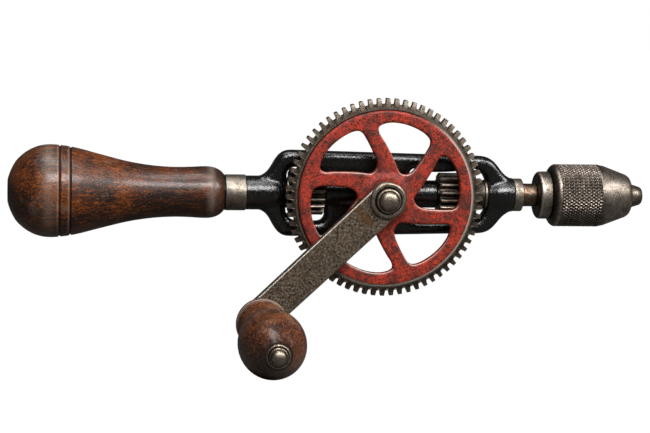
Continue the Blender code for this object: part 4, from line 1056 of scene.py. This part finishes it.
# Chuck. A steel body screwed on the spindle carries a knurled shell. The shell's inner cone
# closes three jaws on the bit. The knurl is rolled in, and its valleys are darker.
DISC_BACK = 73 * MM
DISC_FRONT = 79 * MM
SHELL_BACK = 79.3 * MM
SHELL_FRONT = 117.4 * MM
SHELL_RADIUS = 14.5 * MM
CORE_FRONT = 95.2 * MM
MOUTH_RADIUS = 6.1 * MM
NOSE_ANGLE = math.radians(17.5)
CHUCK_STEEL = aged_steel("oil_browned_steel", "#4b4035", "#8d8176", "#c5baae", 0.36, rings=0)
disc_profile = [
    (DISC_BACK, 4.9 * MM), (DISC_BACK, 9.6 * MM), (DISC_BACK + 0.5 * MM, 10.4 * MM),
    (DISC_BACK + 1.3 * MM, 11 * MM), (DISC_FRONT - 0.3 * MM, 11 * MM), (DISC_FRONT, 10.5 * MM),
    (DISC_FRONT, 9.6 * MM), (CORE_FRONT, 9.6 * MM), (CORE_FRONT, 3.2 * MM), (90 * MM, 3.2 * MM),
    (90 * MM, 4.9 * MM),
]
disc_mesh = turned("chuck_core", eased(disc_profile, 0.5 * MM), TO_X)


def disc_painted_shade(place):
    """Painted shade on the back face and in the corner by the shell."""
    across = math.hypot(place.y, place.z)
    return max(0.8 * (place.x < 73.6) * (across < 10.3), 0.8 * max(0.0, 1 - (79.2 - place.x) / 1.2))


def disc_rim_highlight(place):
    """A painted highlight on the back face's rim."""
    return 0.9 * max(0.0, 1 - abs(place.x - 74.1) / 0.5) * (math.hypot(place.y, place.z) > 10)


mark(disc_mesh, "grime_and_shade", disc_painted_shade)
mark(disc_mesh, "wear_and_highlight", disc_rim_highlight)
fit("chuck_core", disc_mesh, CHUCK_STEEL, "spindle", "chuck_steel", "chuck_body")

KNURL_BACK = 82.2 * MM
KNURL_FRONT = 101.5 * MM
KNURL_STARTS = 58
KNURL_PITCH = 2.3 * MM
KNURL_STEPS = 9
KNURL_DEPTH = 0.5 * MM
CONE_FOOT = MOUTH_RADIUS + (SHELL_FRONT - CORE_FRONT - GAP) * math.tan(NOSE_ANGLE)
shell_corners = [
    (SHELL_BACK, 9.9 * MM), (SHELL_BACK, 11.9 * MM), (SHELL_BACK + 0.8 * MM, 13.5 * MM),
    (SHELL_BACK + 2.2 * MM, SHELL_RADIUS), (101.7 * MM, SHELL_RADIUS), (105 * MM, 13.8 * MM),
    (115.6 * MM, 9.9 * MM), (116.9 * MM, 8.8 * MM), (SHELL_FRONT, 7.7 * MM),
    (SHELL_FRONT, MOUTH_RADIUS), (CORE_FRONT + GAP, CONE_FOOT), (CORE_FRONT + GAP, 9.9 * MM),
]
shell_outline = eased(shell_corners, 0.8 * MM, 4)
shell_profile = []
for here, there in zip(shell_outline, shell_outline[1:]):
    shell_profile.append(here)
    on_grip = min(here[1], there[1]) > 14.4 * MM
    pieces = int((there[0] - here[0]) / (KNURL_PITCH / KNURL_STEPS)) if on_grip else 1
    for piece in range(1, pieces):
        share = piece / pieces
        shell_profile.append(tuple(a + (b - a) * share for a, b in zip(here, there)))
shell_profile.append(shell_outline[-1])
shell_mesh = turned("chuck_shell_knurled", shell_profile, TO_X, KNURL_STARTS * KNURL_STEPS)
# Darker in the knurl's valleys, at the shell's back edge, at the knurl's end and in the mouth.
knurl = []
for vertex in shell_mesh.vertices:
    x, radius = vertex.co.x, math.hypot(vertex.co.y, vertex.co.z)
    inside = min(1, max(0, min(x - KNURL_BACK, KNURL_FRONT - x) / (0.4 * MM)))
    if inside <= 0 or radius < 14 * MM:
        at_back = max(0.0, 1 - (x - SHELL_BACK) / (2.1 * MM)) ** 0.5
        at_end = max(0.0, 1 - abs(x - KNURL_FRONT) / (0.5 * MM))
        in_mouth = 1.0 if radius < 7.3 * MM else 0.0
        knurl.append(0.85 * max(at_back, at_end, in_mouth))
        continue
    turns = math.atan2(vertex.co.z, vertex.co.y) / math.tau * KNURL_STARTS
    along = (x - KNURL_BACK) / KNURL_PITCH
    valley = max(abs((turns + along) % 1 - 0.5), abs((turns - along) % 1 - 0.5)) * 2
    valley = max(0, valley - 0.15) / 0.85
    vertex.co.yz *= 1 - KNURL_DEPTH * inside * valley / radius
    knurl.append(inside * (1 - (1 - valley) ** 1.5) * 0.85)
store(shell_mesh, "grime_and_shade", knurl)
fit("chuck_shell_knurled", shell_mesh, CHUCK_STEEL, "chuck_shell", "chuck_steel", "chuck_shell")

JAW_TIP = 123.4 * MM
JAW_BACK = 105.7 * MM
JAW_SPLIT = 0.4 * MM
JAW_ROUND = 0.9 * MM
JAWS = 3
JAW_STEEL = aged_steel("oiled_tool_steel", "#3d342b", "#74695e", "#a39889", 0.36, rings=0)


def jaw_radius(x):
    """The radius at which the jaws bear on the shell's inner cone."""
    return MOUTH_RADIUS - GAP + (SHELL_FRONT - x) * math.tan(NOSE_ANGLE)


def jaw(name, number):
    """A third of a cone, its sides set back from its neighbours' and its tip rounded."""
    ends = [JAW_BACK + (JAW_TIP - JAW_ROUND - JAW_BACK) * k / 8 for k in range(9)]
    stations = [(x, jaw_radius(x)) for x in ends]
    for k in (1, 2, 3, 4):
        t = k * math.pi / 8
        set_back = JAW_ROUND * (1 - math.sin(t))
        stations.append((JAW_TIP - set_back, jaw_radius(JAW_TIP) - JAW_ROUND * (1 - math.cos(t))))
    spread = math.pi / JAWS
    sculpt = bmesh.new()
    sections = []
    for x, radius in stations:
        half = spread - math.asin(JAW_SPLIT / 2 / radius)
        ring = [(JAW_SPLIT / 2 / math.sin(spread), 0)]
        for step in range(25):
            angle = -half + 2 * half * step / 24
            ring.append((radius * math.cos(angle), radius * math.sin(angle)))
        sections.append([sculpt.verts.new((a, b, x)) for a, b in ring])
    for here, there in zip(sections, sections[1:]):
        for k in range(len(here)):
            n = (k + 1) % len(here)
            sculpt.faces.new((here[k], here[n], there[n], there[k]))
    sculpt.faces.new(sections[0])
    sculpt.faces.new(sections[-1])
    return finished(sculpt, name, Matrix.Rotation(math.tau * number / JAWS, 4, "X") @ TO_X)


for number in range(JAWS):
    body = f"jaw_{number + 1}"
    fit(body + "_cone", jaw(body + "_cone", number), JAW_STEEL, body, "jaw_steel", body)


# Studio. The drill stands in the picture with its handle level, on a pale floor just under its
# knob, between three soft boxes (overhead, high in front, front right) in faint white air.
AIM = Vector((-27.1, -22.64, -8.92)) * MM
AZIMUTH = math.radians(-7.923)
ELEVATION = math.radians(8.5)
ROLL = math.radians(1.598)
DISTANCE = 900 * MM
camera_data = bpy.data.cameras.new("camera")
camera_data.sensor_width = 36
camera_data.lens = 110.25
camera_data.clip_start = 10 * MM
camera = placed("camera", camera_data)
back = Vector((
    math.sin(AZIMUTH) * math.cos(ELEVATION), -math.cos(AZIMUTH) * math.cos(ELEVATION),
    math.sin(ELEVATION),
))
level = Vector((math.cos(AZIMUTH), math.sin(AZIMUTH), 0))
upright = back.cross(level)
right = level * math.cos(ROLL) + upright * math.sin(ROLL)
up = upright * math.cos(ROLL) - level * math.sin(ROLL)
facing = Matrix((right, up, back)).transposed().to_4x4()
camera.matrix_world = Matrix.Translation(AIM + back * DISTANCE) @ facing
bpy.context.scene.camera = camera


def lamp(name, place, width, height, power):
    """A soft box that faces the middle of the drill."""
    data = bpy.data.lights.new(name, "AREA")
    data.shape = "RECTANGLE"
    data.size, data.size_y, data.energy = width, height, power
    box = placed(name, data)
    box.location = place
    box.rotation_euler = (Vector(place) - AIM).to_track_quat("Z", "Y").to_euler()


lamp("overhead", (-0.1, -0.1, 0.85), 0.7, 0.3, 3.5)
lamp("front_right", (0.78, -0.62, 0.62), 0.46, 0.38, 8.0)
lamp("front_high", (0.05, -0.88, 0.76), 0.75, 0.36, 12.5)

FLOOR_REACH = 6
floor_mesh = bpy.data.meshes.new("floor")
floor_mesh.from_pydata([(x, y, 0) for x, y in square(FLOOR_REACH)], [], [(0, 1, 2, 3)])
PALE_FLOOR = blank("matt_white_board")
floor_path = node(PALE_FLOOR, "ShaderNodeLightPath", out="Is Camera Ray")
floor_matt = node(PALE_FLOOR, "ShaderNodeBsdfDiffuse", {"Color": colour("#525250")})
floor_glow = node(PALE_FLOOR, "ShaderNodeEmission", {"Color": (1, 1, 1, 1), "Strength": 1.08})
floor_share = node(PALE_FLOOR, "ShaderNodeMath", {0: floor_path, 1: 0.94}, operation="MULTIPLY")
floor_mix = node(PALE_FLOOR, "ShaderNodeMixShader", {0: floor_share, 1: floor_matt, 2: floor_glow})
node(PALE_FLOOR, "ShaderNodeOutputMaterial", {"Surface": floor_mix})
floor_mesh.materials.append(PALE_FLOOR)
floor = placed("floor", floor_mesh)
floor.location = (0, 0, CAD_BOX[0][2] - 0.1 * MM)

air = bpy.data.worlds.new("white_air")
bpy.context.scene.world = air
air.use_nodes = True
air.node_tree.nodes.clear()
air_path = node(air, "ShaderNodeLightPath", out="Is Camera Ray")
air_light = node(air, "ShaderNodeBackground", {"Color": (1, 1, 1, 1), "Strength": 0.07})
air_seen = node(air, "ShaderNodeBackground", {"Color": (1, 1, 1, 1), "Strength": 1})
air_mix = node(air, "ShaderNodeMixShader", {0: air_path, 1: air_light, 2: air_seen})
node(air, "ShaderNodeOutputWorld", {"Surface": air_mix})
bpy.context.scene.view_settings.view_transform = "Standard"
